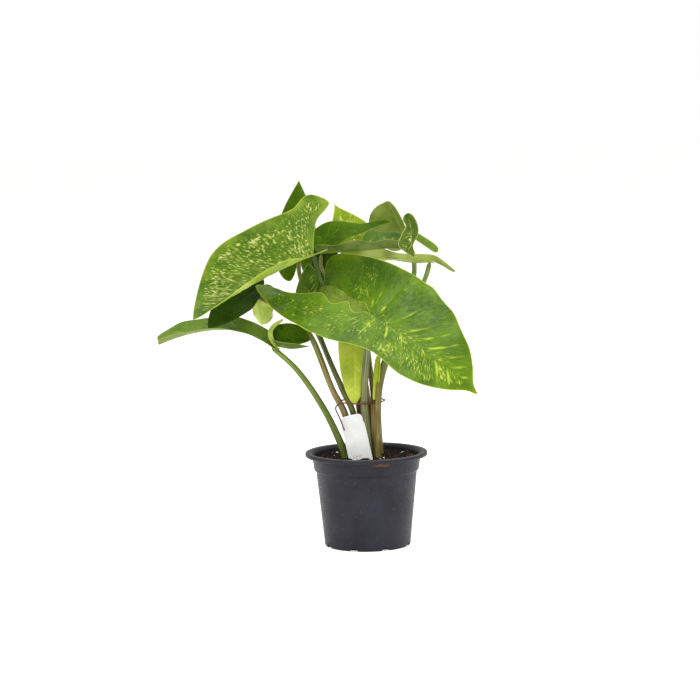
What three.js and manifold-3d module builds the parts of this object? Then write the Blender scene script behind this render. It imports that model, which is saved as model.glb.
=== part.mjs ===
// An arrowhead plant in its round nursery pot, with a blank plant label and a wire tie.
// Millimetres, +Z up. The origin is the middle of the pot's base, on the floor.
// -Y is the front, where the label stands, and the broadest leaf leans out to +X.

import * as THREE from 'three';
import { mergeVertices } from 'three/addons/utils/BufferGeometryUtils.js';
import Module from 'manifold-3d';

const wasm = await Module();
wasm.setup();

// ---- Driving dimensions ----

const pot = {
  rimRadius: 52.5,
  height: 81,
  lipHeight: 3.6,
  collarTopRadius: 46.6,
  collarBottomRadius: 45,
  collarBottom: 65,
  bodyTopRadius: 43.4,
  baseRadius: 36.8,
  wall: 1.5,
  floor: 2,
  segments: 48,
  notches: 8,
  notchWidth: 8,
  notchHeight: 2.8,
  notchTurn: 25,
};

const soil = {
  level: 76.2,
  gap: 0.3,
  lump: 1.1,
  rings: 5,
};

const label = {
  width: 20,
  headWidth: 18.5,
  shoulder: 1,
  headLength: 9,
  length: 76,
  pointLength: 18,
  corner: 5,
  thickness: 0.8,
  foot: [2.8, -25, 41],
  lean: -11,
  tilt: 12,
};

const tie = {
  wireRadius: 0.65,
  route: [[-18.4, -19, 102], [-22, -18, 112], [-25.5, -14, 121], [-22, -13.5, 124.5], [-8, -14.5, 124],
    [2, -14, 124], [9.2, -8, 124], [13.4, -3, 124], [16.5, 10, 124], [8, 20, 124], [-14, 16, 124],
    [-24, 6, 124]],
};

const bladeThickness = 0.8;
const clearance = 0.3;

// Steps from the joint to the tip, along a lobe and across a side.
const leafMesh = {
  broad: [10, 5, 4],
  plain: [9, 4, 3],
  small: [6, 3, 2],
};

// ---- Solids ----

function toSolid(geometry) {
  const bare = geometry.clone();
  bare.deleteAttribute('normal');
  bare.deleteAttribute('uv');
  const merged = mergeVertices(bare, 1e-4);
  const corners = merged.index.array;
  const triangles = [];
  for (let i = 0; i < corners.length; i += 3) {
    const [a, b, c] = [corners[i], corners[i + 1], corners[i + 2]];
    if (a !== b && b !== c && c !== a) {
      triangles.push(a, b, c);
    }
  }
  return new wasm.Manifold(new wasm.Mesh({
    numProp: 3,
    vertProperties: Float32Array.from(merged.attributes.position.array),
    triVerts: Uint32Array.from(triangles),
  }));
}

function toGeometry(solid) {
  const mesh = solid.getMesh();
  const geometry = new THREE.BufferGeometry();
  geometry.setAttribute('position', new THREE.BufferAttribute(mesh.vertProperties, 3));
  geometry.setIndex(new THREE.BufferAttribute(mesh.triVerts, 1));
  geometry.computeVertexNormals();
  return geometry;
}

function joined(geometries) {
  return geometries.map(toSolid).reduce((whole, piece) => whole.add(piece));
}

// A surface of revolution about Z from a profile of [radius, height] pairs that runs
// up the outside, with any bumps added to the height.
function lathe(profile, segments, bump = () => 0) {
  const points = profile.map(([radius, height]) => new THREE.Vector2(radius, height));
  const geometry = new THREE.LatheGeometry(points, segments);
  geometry.rotateX(Math.PI / 2);
  const position = geometry.attributes.position;
  for (let i = 0; i < position.count; i += 1) {
    const [x, y, z] = [position.getX(i), position.getY(i), position.getZ(i)];
    position.setZ(i, z + bump(x, y, z));
  }
  return geometry;
}

// A closed tube along a smooth curve through the points, with a radius that goes from
// `from` to `to`. grow widens and lengthens it, for the hole that it stands in.
function tube({ points, from, to, steps = 11, sides = 7, grow = 0 }) {
  const curve = new THREE.CatmullRomCurve3(points.map((p) => new THREE.Vector3(...p)));
  const frames = curve.computeFrenetFrames(steps, false);
  const vertices = [];
  for (let i = 0; i <= steps; i += 1) {
    const centre = curve.getPointAt(i / steps);
    const radius = from + (to - from) * (i / steps) + grow;
    for (let j = 0; j < sides; j += 1) {
      const turn = (2 * Math.PI * j) / sides;
      const spoke = frames.normals[i].clone().multiplyScalar(Math.cos(turn) * radius);
      spoke.addScaledVector(frames.binormals[i], Math.sin(turn) * radius);
      vertices.push(centre.clone().add(spoke));
    }
  }
  const start = curve.getPointAt(0).addScaledVector(frames.tangents[0], -grow);
  const end = curve.getPointAt(1).addScaledVector(frames.tangents[steps], grow);
  vertices.push(start, end);
  const triangles = [];
  for (let i = 0; i < steps; i += 1) {
    for (let j = 0; j < sides; j += 1) {
      const a = i * sides + j;
      const b = i * sides + ((j + 1) % sides);
      triangles.push(a, b, b + sides, a, b + sides, a + sides);
    }
  }
  const last = steps * sides;
  for (let j = 0; j < sides; j += 1) {
    const next = (j + 1) % sides;
    triangles.push(vertices.length - 2, next, j);
    triangles.push(vertices.length - 1, last + j, last + next);
  }
  const geometry = new THREE.BufferGeometry().setFromPoints(vertices);
  geometry.setIndex(triangles);
  return geometry;
}

// Gives a sheet of triangles its thickness: the same triangles on both faces, joined
// by a wall along every edge that only one triangle has.
function thicken(points, triangles, thickness) {
  const sheet = new THREE.BufferGeometry().setFromPoints(points);
  sheet.setIndex(triangles);
  sheet.computeVertexNormals();
  const normal = new THREE.Vector3();
  const faces = [0.5, -0.5].map((side) => points.map((point, i) => {
    normal.fromBufferAttribute(sheet.attributes.normal, i);
    return point.clone().addScaledVector(normal, side * thickness);
  }));
  const count = points.length;
  const all = [...triangles];
  const edges = new Map();
  for (let i = 0; i < triangles.length; i += 3) {
    const corner = triangles.slice(i, i + 3);
    all.push(corner[2] + count, corner[1] + count, corner[0] + count);
    for (let j = 0; j < 3; j += 1) {
      edges.set(`${corner[j]},${corner[(j + 1) % 3]}`, [corner[j], corner[(j + 1) % 3]]);
    }
  }
  for (const [a, b] of edges.values()) {
    if (!edges.has(`${b},${a}`)) {
      all.push(a, a + count, b + count, a, b + count, b);
    }
  }
  const geometry = new THREE.BufferGeometry().setFromPoints(faces.flat());
  geometry.setIndex(all);
  return geometry;
}

// ---- A leaf blade ----

// Half-width ahead of the joint, as a share of the greatest: broad near the joint and
// drawn out to the tip. share runs from 0 at the joint to 1 at the tip.
function frontWidth(share, taper) {
  const base = 0.75;
  const widest = (1 - base * taper) / (1 + taper);
  const greatest = (widest + base) * (1 - widest) ** taper;
  return ((share + base) * (1 - share) ** taper) / greatest;
}

// Direction that a blade side takes at a distance from the midrib, summed from the
// midrib out: a fold at the midrib and an even curl after it.
function acrossCurve(distance, halfWidth, fold, curl) {
  const bend = (curl / halfWidth) * distance * 0.5;
  const chord = Math.abs(bend) < 1e-6 ? distance : (distance * Math.sin(bend)) / bend;
  return [chord * Math.cos(fold + bend), chord * Math.sin(fold + bend)];
}

// What a blade has unless its own entry says otherwise. Pairs are [left, right], looking
// from the joint to the tip with the upper face up. Lengths are in mm, angles in degrees.
// Shares are of the length from joint to tip, or of a side's half-width.
const plainBlade = {
  mesh: 'plain',
  // Turn about the midrib at the joint, and how much more by the tip.
  roll: 0,
  twist: 0,
  // Rise of the midrib, highest at the crest's share of the length.
  arch: 0,
  crest: 0.5,
  halfWidth: [30, 30],
  // How early the front narrows.
  taper: 0.9,
  // Lobes behind the joint: length, width at the end, squareness of the end, bend up and
  // out, and how far the inner edge leaves the midrib.
  lobe: [25, 25],
  lobeEnd: [0.4, 0.4],
  corner: [2.2, 2.2],
  lobeRise: [0, 0],
  lobeSplay: [0, 0],
  sinus: [0.25, 0.25],
  // Fold of each side at the midrib, and its curl from there to the margin.
  fold: [15, 15],
  curl: [0, 0],
  // Swells and waists of the outer margin, as shares of the half-width, and of a lobe's
  // inner edge, in mm. Each has its side, its place and span along the length, and height.
  margin: [],
  inner: [],
  // Ripple of the margin.
  wave: [0, 0],
  waves: 2.5,
};

// The point of the blade's middle surface at `along` from the joint (negative on the
// lobes) and `out` from the midrib on a side: 0 is the left, 1 the right, looking from
// joint to tip with the upper face up.
function bladePoint(leaf, side, along, out) {
  const joint = new THREE.Vector3(...leaf.joint);
  const chord = new THREE.Vector3(...leaf.tip).sub(joint);
  const length = chord.length();
  const forward = chord.clone().normalize();
  const up = new THREE.Vector3(0, 0, 1).addScaledVector(forward, -forward.z).normalize();
  const right = new THREE.Vector3().crossVectors(forward, up);
  const share = along / length;
  const ahead = Math.max(share, 0);
  const roll = THREE.MathUtils.degToRad(leaf.roll + leaf.twist * ahead);
  const flat = right.clone().multiplyScalar(Math.cos(roll)).addScaledVector(up, Math.sin(roll));
  const normal = up.clone().multiplyScalar(Math.cos(roll)).addScaledVector(right, -Math.sin(roll));
  const reach = ahead < leaf.crest ? leaf.crest : 1 - leaf.crest;
  const fall = (leaf.crest - ahead) / reach;
  const rise = share > 0 ? leaf.arch * (1 - fall ** 2) : 0;
  const slope = (2 * leaf.arch * fall) / (reach * length);
  const point = joint.clone();
  const run = share > 0 ? along : along / Math.hypot(1, slope);
  point.addScaledVector(forward, run);
  point.addScaledVector(normal, rise + (share > 0 ? 0 : run * slope));
  const tangent = forward.clone().addScaledVector(normal, slope).normalize();
  const face = new THREE.Vector3().crossVectors(flat, tangent).normalize();
  const sign = side === 0 ? -1 : 1;
  const halfWidth = leaf.halfWidth[side];
  const fold = THREE.MathUtils.degToRad(leaf.fold[side]);
  const curl = THREE.MathUtils.degToRad(leaf.curl[side]);
  const [across, lift] = acrossCurve(out, halfWidth, fold, curl);
  const back = Math.max(-along / leaf.lobe[side], 0) ** 1.5;
  const ripple = leaf.wave[side] * (out / halfWidth) ** 2
    * Math.sin(2 * Math.PI * leaf.waves * share + side * 1.9);
  point.addScaledVector(flat, sign * (across + leaf.lobeSplay[side] * back));
  point.addScaledVector(face, lift + ripple + leaf.lobeRise[side] * back);
  return point;
}

// Sum of the smooth swells of one side at a share of the length.
function swells(entries, side, share) {
  let total = 0;
  for (const [of, place, height, span] of entries) {
    if (of === side) {
      total += height * Math.exp(-(((share - place) / span) ** 2));
    }
  }
  return total;
}

// Inner and outer edge of one side at a station along the midrib.
function bladeEdges(leaf, side, along, length) {
  const halfWidth = leaf.halfWidth[side] * (1 + swells(leaf.margin, side, along / length));
  if (along >= 0) {
    return [0, halfWidth * frontWidth(along / length, leaf.taper)];
  }
  const back = Math.min(-along / leaf.lobe[side], 1);
  const end = leaf.lobeEnd[side] * halfWidth;
  const shoulder = halfWidth * frontWidth(0, leaf.taper);
  const round = Math.sqrt(1 - back ** 2);
  const outer = end + (shoulder - end) * Math.sqrt(1 - back ** leaf.corner[side]);
  const inner = end * ((1 - leaf.sinus[side]) * (1 - round) + leaf.sinus[side] * back);
  return [inner + swells(leaf.inner, side, along / length) * Math.min(back * 8, 1), outer];
}

function blade(shape) {
  const leaf = { ...plainBlade, ...shape };
  const length = new THREE.Vector3(...leaf.joint).distanceTo(new THREE.Vector3(...leaf.tip));
  const points = [];
  const triangles = [];
  const [frontSteps, lobeSteps, acrossSteps] = leafMesh[leaf.mesh];
  const tip = points.push(bladePoint(leaf, 0, length, 0)) - 1;
  const midrib = [];
  for (let i = 0; i < frontSteps; i += 1) {
    midrib.push(points.push(bladePoint(leaf, 0, (length * i) / frontSteps, 0)) - 1);
  }
  for (const side of [0, 1]) {
    const rows = [];
    for (let i = -lobeSteps; i < frontSteps; i += 1) {
      const back = Math.sin((Math.PI / 2) * (i / lobeSteps));
      const along = i < 0 ? leaf.lobe[side] * back : (length * i) / frontSteps;
      const [inner, outer] = bladeEdges(leaf, side, along, length);
      const row = [];
      for (let j = 0; j <= acrossSteps; j += 1) {
        if (i >= 0 && j === 0) {
          row.push(midrib[i]);
        } else if (i === -lobeSteps && j > 0) {
          row.push(row[0]);
        } else {
          const out = inner + ((outer - inner) * j) / acrossSteps;
          row.push(points.push(bladePoint(leaf, side, along, out)) - 1);
        }
      }
      rows.push(row);
    }
    rows.push(new Array(acrossSteps + 1).fill(tip));
    for (let i = 0; i + 1 < rows.length; i += 1) {
      for (let j = 0; j < acrossSteps; j += 1) {
        const [a, b] = [rows[i][j], rows[i][j + 1]];
        const [c, d] = [rows[i + 1][j + 1], rows[i + 1][j]];
        const quad = (i + j) % 2 === 0 ? [[a, b, c], [a, c, d]] : [[a, b, d], [b, c, d]];
        for (const corner of quad) {
          if (new Set(corner).size === 3) {
            triangles.push(...(side === 1 ? corner : [...corner].reverse()));
          }
        }
      }
    }
  }
  return thicken(points, triangles, bladeThickness);
}

// ---- Leaves ----

const leaves = {
  blade_left_broad: {
    colour: 0x5c8a2c,
    mesh: 'broad',
    joint: [-42, -6, 252],
    tip: [-144, -34, 200.5],
    roll: 34,
    arch: 5,
    halfWidth: [38, 43],
    taper: 0.84,
    lobe: [8, 33],
    lobeEnd: [0.5, 0.63],
    lobeRise: [0, 3],
    lobeSplay: [0, 8],
    sinus: [0.25, 1],
    fold: [30, 22],
    curl: [44, 36],
    margin: [[0, 0.04, -0.5, 0.16], [1, -0.13, 0.2, 0.12], [1, 0.66, 0.2, 0.22]],
    inner: [[1, -0.115, 8.5, 0.1]],
  },
  blade_front_broad: {
    colour: 0x4b7f1e,
    mesh: 'broad',
    joint: [5, -36, 204],
    tip: [92, -87, 140],
    roll: -46,
    twist: 10,
    arch: 6,
    halfWidth: [47, 52],
    taper: 1,
    lobe: [75, 95],
    lobeEnd: [0.56, 0.78],
    corner: [1.4, 2.2],
    lobeRise: [-14, 4],
    sinus: [0.1, 0.7],
    fold: [10, 4],
    curl: [20, 12],
    margin: [[0, 0.95, -0.45, 0.07], [0, 0.28, 0.03, 0.05], [0, 0.5, 0.035, 0.06], [0, 0.74, 0.04, 0.06],
      [1, 0.95, -0.45, 0.07], [1, 0.25, -0.38, 0.3], [1, -0.5, 0.05, 0.15]],
    inner: [[0, -0.5, -8, 0.09], [0, -0.08, 4, 0.07], [1, -0.09, 5, 0.05], [1, -0.2, -5, 0.035],
      [1, -0.28, 2, 0.04], [1, -0.41, -7, 0.07], [1, -0.6, 2, 0.06]],
  },
  blade_left_low: {
    colour: 0x56772f,
    joint: [-78, -14, 175],
    tip: [-175.5, -8, 177],
    roll: 8,
    twist: -26,
    arch: 14,
    crest: 0.4,
    halfWidth: [13, 18],
    taper: 0.12,
    lobe: [6, 12],
    lobeEnd: [0.4, 0.5],
    lobeRise: [3, 4],
    fold: [0, 38],
    curl: [8, 8],
    wave: [0.6, 0.6],
  },
  blade_left_dark: {
    colour: 0x3a5a26,
    joint: [-85.5, 16, 224.5],
    tip: [-131.5, -32, 193],
    roll: 46,
    arch: 6,
    halfWidth: [15, 19],
    taper: 0.75,
    lobe: [6, 6],
    fold: [4, 4],
    curl: [16, 16],
    margin: [[0, 0.16, -0.5, 0.24], [1, 0.4, -0.32, 0.07], [1, 0.64, 0.15, 0.12]],
    wave: [1.5, 1.5],
    waves: 2,
  },
  blade_left_pale: {
    colour: 0x9fb257,
    joint: [-92, 14, 214.5],
    tip: [-88, 18, 189.5],
    halfWidth: [13, 14],
    taper: 0.5,
    lobe: [3, 3],
    wave: [0.8, 0.8],
  },
  blade_back_upright: {
    colour: 0x55832c,
    joint: [-56, 74, 247.5],
    tip: [-55, 88, 310],
    halfWidth: [21, 17],
    taper: 1.1,
    lobe: [26, 20],
  },
  blade_top_bright: {
    colour: 0xa3bb4a,
    joint: [-9, 78, 259],
    tip: [-24.5, 82, 289.5],
    roll: 76,
    halfWidth: [20, 19],
    taper: 1.5,
    lobe: [6, 6],
    fold: [8, 8],
  },
  blade_top_middle: {
    colour: 0x5f8436,
    joint: [-39, 48, 252],
    tip: [26, 56, 274],
    arch: 7,
    crest: 0.45,
    halfWidth: [21, 17],
    lobe: [10, 8],
    fold: [38, -22],
    margin: [[0, 0.68, -0.88, 0.27]],
    wave: [0, 1.2],
  },
  blade_right_waved: {
    colour: 0x4a6b38,
    joint: [-36, 18, 251],
    tip: [42, 10, 256],
    halfWidth: [24, 14],
    taper: 0.45,
    lobe: [4, 4],
    fold: [38, 36],
    margin: [[0, 0.15, -0.9, 0.2], [0, 0.36, -0.7, 0.1]],
    wave: [2, 1.4],
  },
  blade_back_right: {
    colour: 0x8d9a55,
    joint: [36.5, 70, 260.5],
    tip: [22, 58, 292],
    roll: -45,
    halfWidth: [5, 25],
    taper: 0.5,
    lobe: [10, 12],
    fold: [10, 10],
  },
  blade_right_pale: {
    colour: 0x98a45c,
    joint: [58, 30, 241.5],
    tip: [-22.5, 27, 245],
    roll: -26,
    arch: 2,
    halfWidth: [15, 14],
    taper: 0.3,
    lobe: [22, 4],
    lobeEnd: [0.8, 0.4],
    lobeRise: [-14, 0],
    fold: [4, 4],
    curl: [12, 12],
    margin: [[0, 0.28, -0.35, 0.25], [0, -0.1, 0.3, 0.08]],
    wave: [1.2, 1.2],
  },
  blade_middle_dark: {
    colour: 0x355238,
    joint: [-44.5, 10, 192.5],
    tip: [-47, 16, 242.5],
    halfWidth: [18, 17],
    lobe: [8, 8],
  },
  blade_new: {
    colour: 0xa9bb3f,
    joint: [-9, -4, 198.5],
    tip: [-9.5, -8.5, 123],
    halfWidth: [13, 13.5],
    taper: 0.65,
    lobe: [8, 8],
    fold: [-8, 16],
  },
};

// Lobes and folds that turn out of their blade's own surface, joined to it where they meet.
const turnedLobes = {
  left_fold: {
    of: 'blade_left_low',
    mesh: 'small',
    joint: [-77, -13, 177.5],
    tip: [-46, -12, 179.5],
    roll: -62,
    halfWidth: [16, 6],
    taper: 0.6,
    lobe: [3, 3],
    fold: [10, 30],
  },
  left_strip: {
    of: 'blade_left_low',
    mesh: 'small',
    joint: [-75, -16, 176],
    tip: [-47, -22, 175],
    roll: 32,
    arch: -1.5,
    halfWidth: [4, 7],
    lobe: [3, 3],
    fold: [6, 6],
  },
  left_twist: {
    of: 'blade_left_low',
    mesh: 'small',
    joint: [-75.5, -16, 176.5],
    tip: [-69.5, -20, 199],
    roll: -75,
    twist: 150,
    arch: 6,
    halfWidth: [4.5, 4.5],
    lobe: [2, 2],
    fold: [30, 30],
  },
  right_tip: {
    of: 'blade_right_waved',
    joint: [41.5, 12, 264.5],
    tip: [43.5, 8, 246],
    halfWidth: [8, 12],
    lobe: [20, 20],
    lobeEnd: [0.01, 0.01],
    sinus: [0, 0],
    margin: [[0, 0.5, -0.92, 0.45], [1, 0.5, 0.5, 0.35], [1, -0.45, -0.55, 0.25]],
  },
  waved_lobe: {
    of: 'blade_right_waved',
    mesh: 'small',
    joint: [-33, 21, 253.5],
    tip: [-32, 30, 224.5],
    halfWidth: [12, 12],
    taper: 0.6,
    lobe: [2, 2],
    fold: [8, 8],
  },
  right_small: {
    of: 'blade_back_right',
    mesh: 'small',
    joint: [40.3, 68.3, 264.3],
    tip: [66, 64, 246.5],
    roll: -55,
    halfWidth: [4.5, 3.5],
    taper: 0.3,
    lobe: [4, 4],
  },
  front_fold: {
    of: 'blade_front_broad',
    mesh: 'small',
    joint: [3.5, -34, 204.5],
    tip: [-37, -4, 223],
    roll: 40,
    halfWidth: [10, 5],
    taper: 0.5,
    lobe: [3, 3],
    fold: [4, 4],
    margin: [[1, 0.85, 1, 0.18], [1, 0.1, 0.6, 0.15]],
  },
};

// ---- Stalks ----

// The stalk of each leaf rises from its stem, buried in the soil, through the places in
// `by`, and ends just under the joint of its blade.
const stems = {
  stem_left: {
    colour: 0x5f7a38,
    stalks: {
      blade_left_low: {
        by: [[-15, -5, 45], [-17.5, -6, 75], [-26.5, -10, 101], [-39, -13, 126], [-58.5, -15, 155]],
        radius: [3.6, 2],
      },
    },
  },
  stem_middle: {
    colour: 0x6b7440,
    stalks: {
      blade_left_dark: {
        by: [[-9, -2, 45], [-11, -3, 75], [-18, -6, 114], [-28, -8, 135.5], [-47, -6, 184], [-61, -4, 204],
          [-73, 14, 211]],
        radius: [3, 1.7],
      },
      blade_left_pale: {
        by: [[-8, 1, 45], [-10, 1, 75], [-17, -2, 114], [-27.5, -4, 135.5], [-46.5, -5, 184], [-65, -6, 203]],
        radius: [2.4, 1.4],
      },
      blade_top_middle: {
        by: [[-4, 0, 45], [-5, 0, 75], [-11, -3, 115.5], [-19.6, -3, 135], [-38, 10, 180], [-44, 28, 205],
          [-43, 42, 232]],
        radius: [3, 1.6],
      },
      blade_middle_dark: {
        by: [[-4, 3, 45], [-5, 3, 75], [-10.5, 1, 115.5], [-19, 1.5, 135], [-38, 14, 176]],
        radius: [2.6, 1.5],
      },
    },
  },
  stem_right: {
    colour: 0x74743f,
    stalks: {
      blade_front_broad: {
        by: [[4, -7, 45], [2, -8, 75], [0, -8, 105], [-1, -10, 127], [1.7, -18, 169]],
        radius: [4.2, 2.4],
      },
      blade_new: {
        by: [[2.2, 0, 45], [1.6, 1, 75], [-3, 0, 125], [-6, 1, 165]],
        radius: [2.6, 1.6],
      },
      blade_left_broad: {
        by: [[2.5, 4.5, 45], [0.5, 5, 75], [-5.5, 5.5, 122], [-8, 5.5, 143], [-11, 5, 179], [-19, 4, 198],
          [-34, 6, 222]],
        radius: [3.8, 1.8],
      },
      blade_right_waved: {
        by: [[7.5, 3, 45], [6.3, 4, 75], [2, 8, 125], [-4, 10, 165], [-14, 14, 196], [-30.5, 22, 227],
          [-36, 20, 239.5]],
        radius: [3.2, 1.5],
      },
      blade_back_upright: {
        by: [[2, 8, 45], [1, 9, 75], [-3, 12, 125], [-9, 18, 160], [-27, 44, 184], [-48, 73, 207],
          [-56, 80, 228]],
        radius: [3, 1.8],
      },
    },
  },
  stem_back: {
    colour: 0x6c6a3a,
    stalks: {
      blade_back_right: {
        by: [[10.8, -9.4, 45], [10.2, -9.7, 75], [10.5, -12.4, 124], [13, -5, 145], [20, 12, 165],
          [34, 36, 190], [45, 60, 236]],
        radius: [2.9, 1.9],
      },
      blade_right_pale: {
        by: [[12, 11, 45], [12, 11, 74], [11.5, 11, 125], [19, 13, 157], [38, 22, 195], [54, 27, 228]],
        radius: [3, 1.8],
      },
      blade_top_bright: {
        by: [[8.5, 14, 45], [8.5, 14, 74], [7, 15, 125], [3, 26, 165], [-1, 52, 205], [-5, 75, 235]],
        radius: [2.8, 1.6],
      },
    },
  },
};

const sheath = {
  foot: [7, -1, 45],
  top: [7, -1.2, 124],
  radius: 5.4,
};

// The thin sheath that opens beside a stalk of stem_back.
const wing = {
  mesh: 'small',
  joint: [8.6, -10.5, 128.5],
  tip: [12, -3, 164],
  halfWidth: [3.4, 3],
  taper: 0.3,
  lobe: [2, 2],
  fold: [20, 20],
};

// A point under the joint of a blade, clear of it by the stalk's end.
function underJoint(shape, radius) {
  const leaf = { ...plainBlade, ...shape };
  const joint = bladePoint(leaf, 0, 0, 0);
  const ahead = bladePoint(leaf, 0, 1, 0).sub(joint);
  const aside = bladePoint({ ...leaf, fold: [0, 0], curl: [0, 0] }, 1, 0, 1).sub(joint);
  const face = new THREE.Vector3().crossVectors(aside, ahead).normalize();
  return joint.addScaledVector(face, -(bladeThickness / 2 + clearance + radius)).toArray();
}

function stalkGeometry(name, { by, radius: [from, to] }, grow = 0) {
  const points = [...by, underJoint(leaves[name], to)];
  return tube({ points, from, to, grow });
}

function stemPieces(name, grow = 0) {
  const pieces = Object.entries(stems[name].stalks).map(([leaf, stalk]) => stalkGeometry(leaf, stalk, grow));
  if (name === 'stem_right') {
    const { foot, top, radius } = sheath;
    pieces.push(tube({ points: [foot, top], from: radius, to: radius, steps: 2, sides: 14, grow }));
  }
  if (name === 'stem_back') {
    pieces.push(blade(wing));
  }
  return pieces;
}

// ---- Pot, soil, label and tie ----

function potGeometry() {
  const slope = (pot.bodyTopRadius - pot.baseRadius) / pot.collarBottom;
  const inner = (height) => pot.baseRadius + slope * height - pot.wall;
  const profile = [
    [0, 0],
    [pot.baseRadius - 0.8, 0],
    [pot.baseRadius, 0.8],
    [pot.bodyTopRadius, pot.collarBottom],
    [pot.collarBottomRadius, pot.collarBottom + 0.6],
    [pot.collarTopRadius, pot.height - pot.lipHeight],
    [pot.rimRadius - 0.6, pot.height - pot.lipHeight],
    [pot.rimRadius, pot.height - pot.lipHeight + 0.8],
    [pot.rimRadius, pot.height - 0.8],
    [pot.rimRadius - 0.8, pot.height],
    [pot.collarTopRadius + 1.4, pot.height],
    [pot.collarTopRadius - pot.wall, pot.height - 2.4],
    [pot.collarBottomRadius - pot.wall, pot.collarBottom + 1.5],
    [inner(pot.collarBottom - 2), pot.collarBottom - 2],
    [inner(pot.floor), pot.floor],
    [0, pot.floor],
  ];
  const notch = new THREE.Shape();
  notch.moveTo(-pot.notchWidth / 2, -1);
  notch.lineTo(pot.notchWidth / 2, -1);
  notch.absellipse(0, 0, pot.notchWidth / 2, pot.notchHeight, 0, Math.PI, false);
  let solid = toSolid(lathe(profile, pot.segments));
  for (let i = 0; i < pot.notches; i += 1) {
    const cutter = new THREE.ExtrudeGeometry(notch, { depth: 8, bevelEnabled: false, curveSegments: 6 });
    cutter.rotateX(Math.PI / 2);
    cutter.translate(0, -(pot.baseRadius - 5), 0);
    cutter.rotateZ(THREE.MathUtils.degToRad(pot.notchTurn + (360 / pot.notches) * i));
    solid = solid.subtract(toSolid(cutter));
  }
  return toGeometry(solid);
}

function soilGeometry() {
  const slope = (pot.bodyTopRadius - pot.baseRadius) / pot.collarBottom;
  const edge = (height) => pot.baseRadius + slope * height - pot.wall - soil.gap;
  const bottom = pot.floor + soil.gap;
  const shoulder = pot.collarBottom - 2;
  const profile = [[0, bottom], [edge(bottom), bottom], [edge(shoulder), shoulder]];
  for (let i = soil.rings; i >= 0; i -= 1) {
    profile.push([(edge(shoulder) * i) / soil.rings, soil.level]);
  }
  const bump = (x, y, z) => {
    const broad = Math.sin(x * 0.37 + y * 0.21) * Math.cos(y * 0.33 - x * 0.11);
    const fine = 0.4 * Math.sin(x * 0.9 + y * 1.3);
    return z < soil.level - 1 ? 0 : soil.lump * (broad + fine);
  };
  let solid = toSolid(lathe(profile, 36, bump));
  for (const name of Object.keys(stems)) {
    solid = solid.subtract(joined(stemPieces(name, soil.gap)));
  }
  return toGeometry(solid.subtract(toSolid(labelGeometry(soil.gap))));
}

// The blank label: a rounded head, a small shoulder and a stake that runs to a point.
function labelGeometry(grow = 0) {
  const half = label.width / 2 + grow;
  const head = label.headWidth / 2 + grow;
  const top = label.length + grow;
  const shape = new THREE.Shape();
  shape.moveTo(0, -grow * 2);
  shape.lineTo(half, label.pointLength);
  shape.lineTo(half, label.length - label.headLength);
  shape.lineTo(head, label.length - label.headLength + label.shoulder);
  shape.lineTo(head, top - label.corner);
  shape.quadraticCurveTo(head, top, head - label.corner, top);
  shape.lineTo(-head + label.corner, top);
  shape.quadraticCurveTo(-head, top, -head, top - label.corner);
  shape.lineTo(-head, label.length - label.headLength + label.shoulder);
  shape.lineTo(-half, label.length - label.headLength);
  shape.lineTo(-half, label.pointLength);
  const depth = label.thickness + 2 * grow;
  const geometry = new THREE.ExtrudeGeometry(shape, { depth, bevelEnabled: false, curveSegments: 5 });
  geometry.translate(0, 0, -depth / 2);
  geometry.rotateX(Math.PI / 2 + THREE.MathUtils.degToRad(label.lean));
  geometry.rotateY(THREE.MathUtils.degToRad(-label.tilt));
  geometry.translate(...label.foot);
  return geometry;
}

function tieGeometry() {
  return tube({ points: tie.route, from: tie.wireRadius, to: tie.wireRadius, steps: 56, sides: 6 });
}

const plant = new THREE.Group();

function addPiece(name, geometry, colour, roughness) {
  const material = new THREE.MeshStandardMaterial({ color: colour, roughness, metalness: 0 });
  const mesh = new THREE.Mesh(geometry, material);
  mesh.name = name;
  plant.add(mesh);
}

addPiece('pot', potGeometry(), 0x3a3a40, 0.55);
addPiece('soil', soilGeometry(), 0x2a211c, 0.95);
addPiece('label', labelGeometry(), 0xf2f2ee, 0.5);
addPiece('tie', tieGeometry(), 0x4a2a1a, 0.5);
for (const [name, stem] of Object.entries(stems)) {
  addPiece(name, toGeometry(joined(stemPieces(name))), stem.colour, 0.6);
}
for (const [name, leaf] of Object.entries(leaves)) {
  const lobes = Object.values(turnedLobes).filter((lobe) => lobe.of === name);
  const pieces = [blade(leaf), ...lobes.map(blade)];
  addPiece(name, lobes.length > 0 ? toGeometry(joined(pieces)) : pieces[0], leaf.colour, 0.45);
}

export default plant;
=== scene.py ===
import math

import bpy
import numpy as np
from mathutils import Matrix, Vector


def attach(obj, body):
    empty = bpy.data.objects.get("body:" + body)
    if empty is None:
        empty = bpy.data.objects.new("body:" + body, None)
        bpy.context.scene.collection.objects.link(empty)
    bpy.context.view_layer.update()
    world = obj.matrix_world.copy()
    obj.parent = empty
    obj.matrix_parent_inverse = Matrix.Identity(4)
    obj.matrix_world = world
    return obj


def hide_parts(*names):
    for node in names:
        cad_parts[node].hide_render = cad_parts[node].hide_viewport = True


# An arrowhead plant in its nursery pot, with a blank label and a wire tie round its stalks.
# Forms are worked out in millimetres and handed to Blender in metres. -Y is the front.

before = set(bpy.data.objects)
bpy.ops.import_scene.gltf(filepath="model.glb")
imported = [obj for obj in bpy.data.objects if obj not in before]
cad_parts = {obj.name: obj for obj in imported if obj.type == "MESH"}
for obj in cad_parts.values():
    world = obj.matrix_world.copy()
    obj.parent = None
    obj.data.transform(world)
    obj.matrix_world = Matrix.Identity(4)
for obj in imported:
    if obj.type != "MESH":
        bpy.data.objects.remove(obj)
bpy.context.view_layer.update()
scene = bpy.context.scene
scene.view_settings.view_transform = "Standard"
mm = 0.001


# Helpers for nodes.

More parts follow.
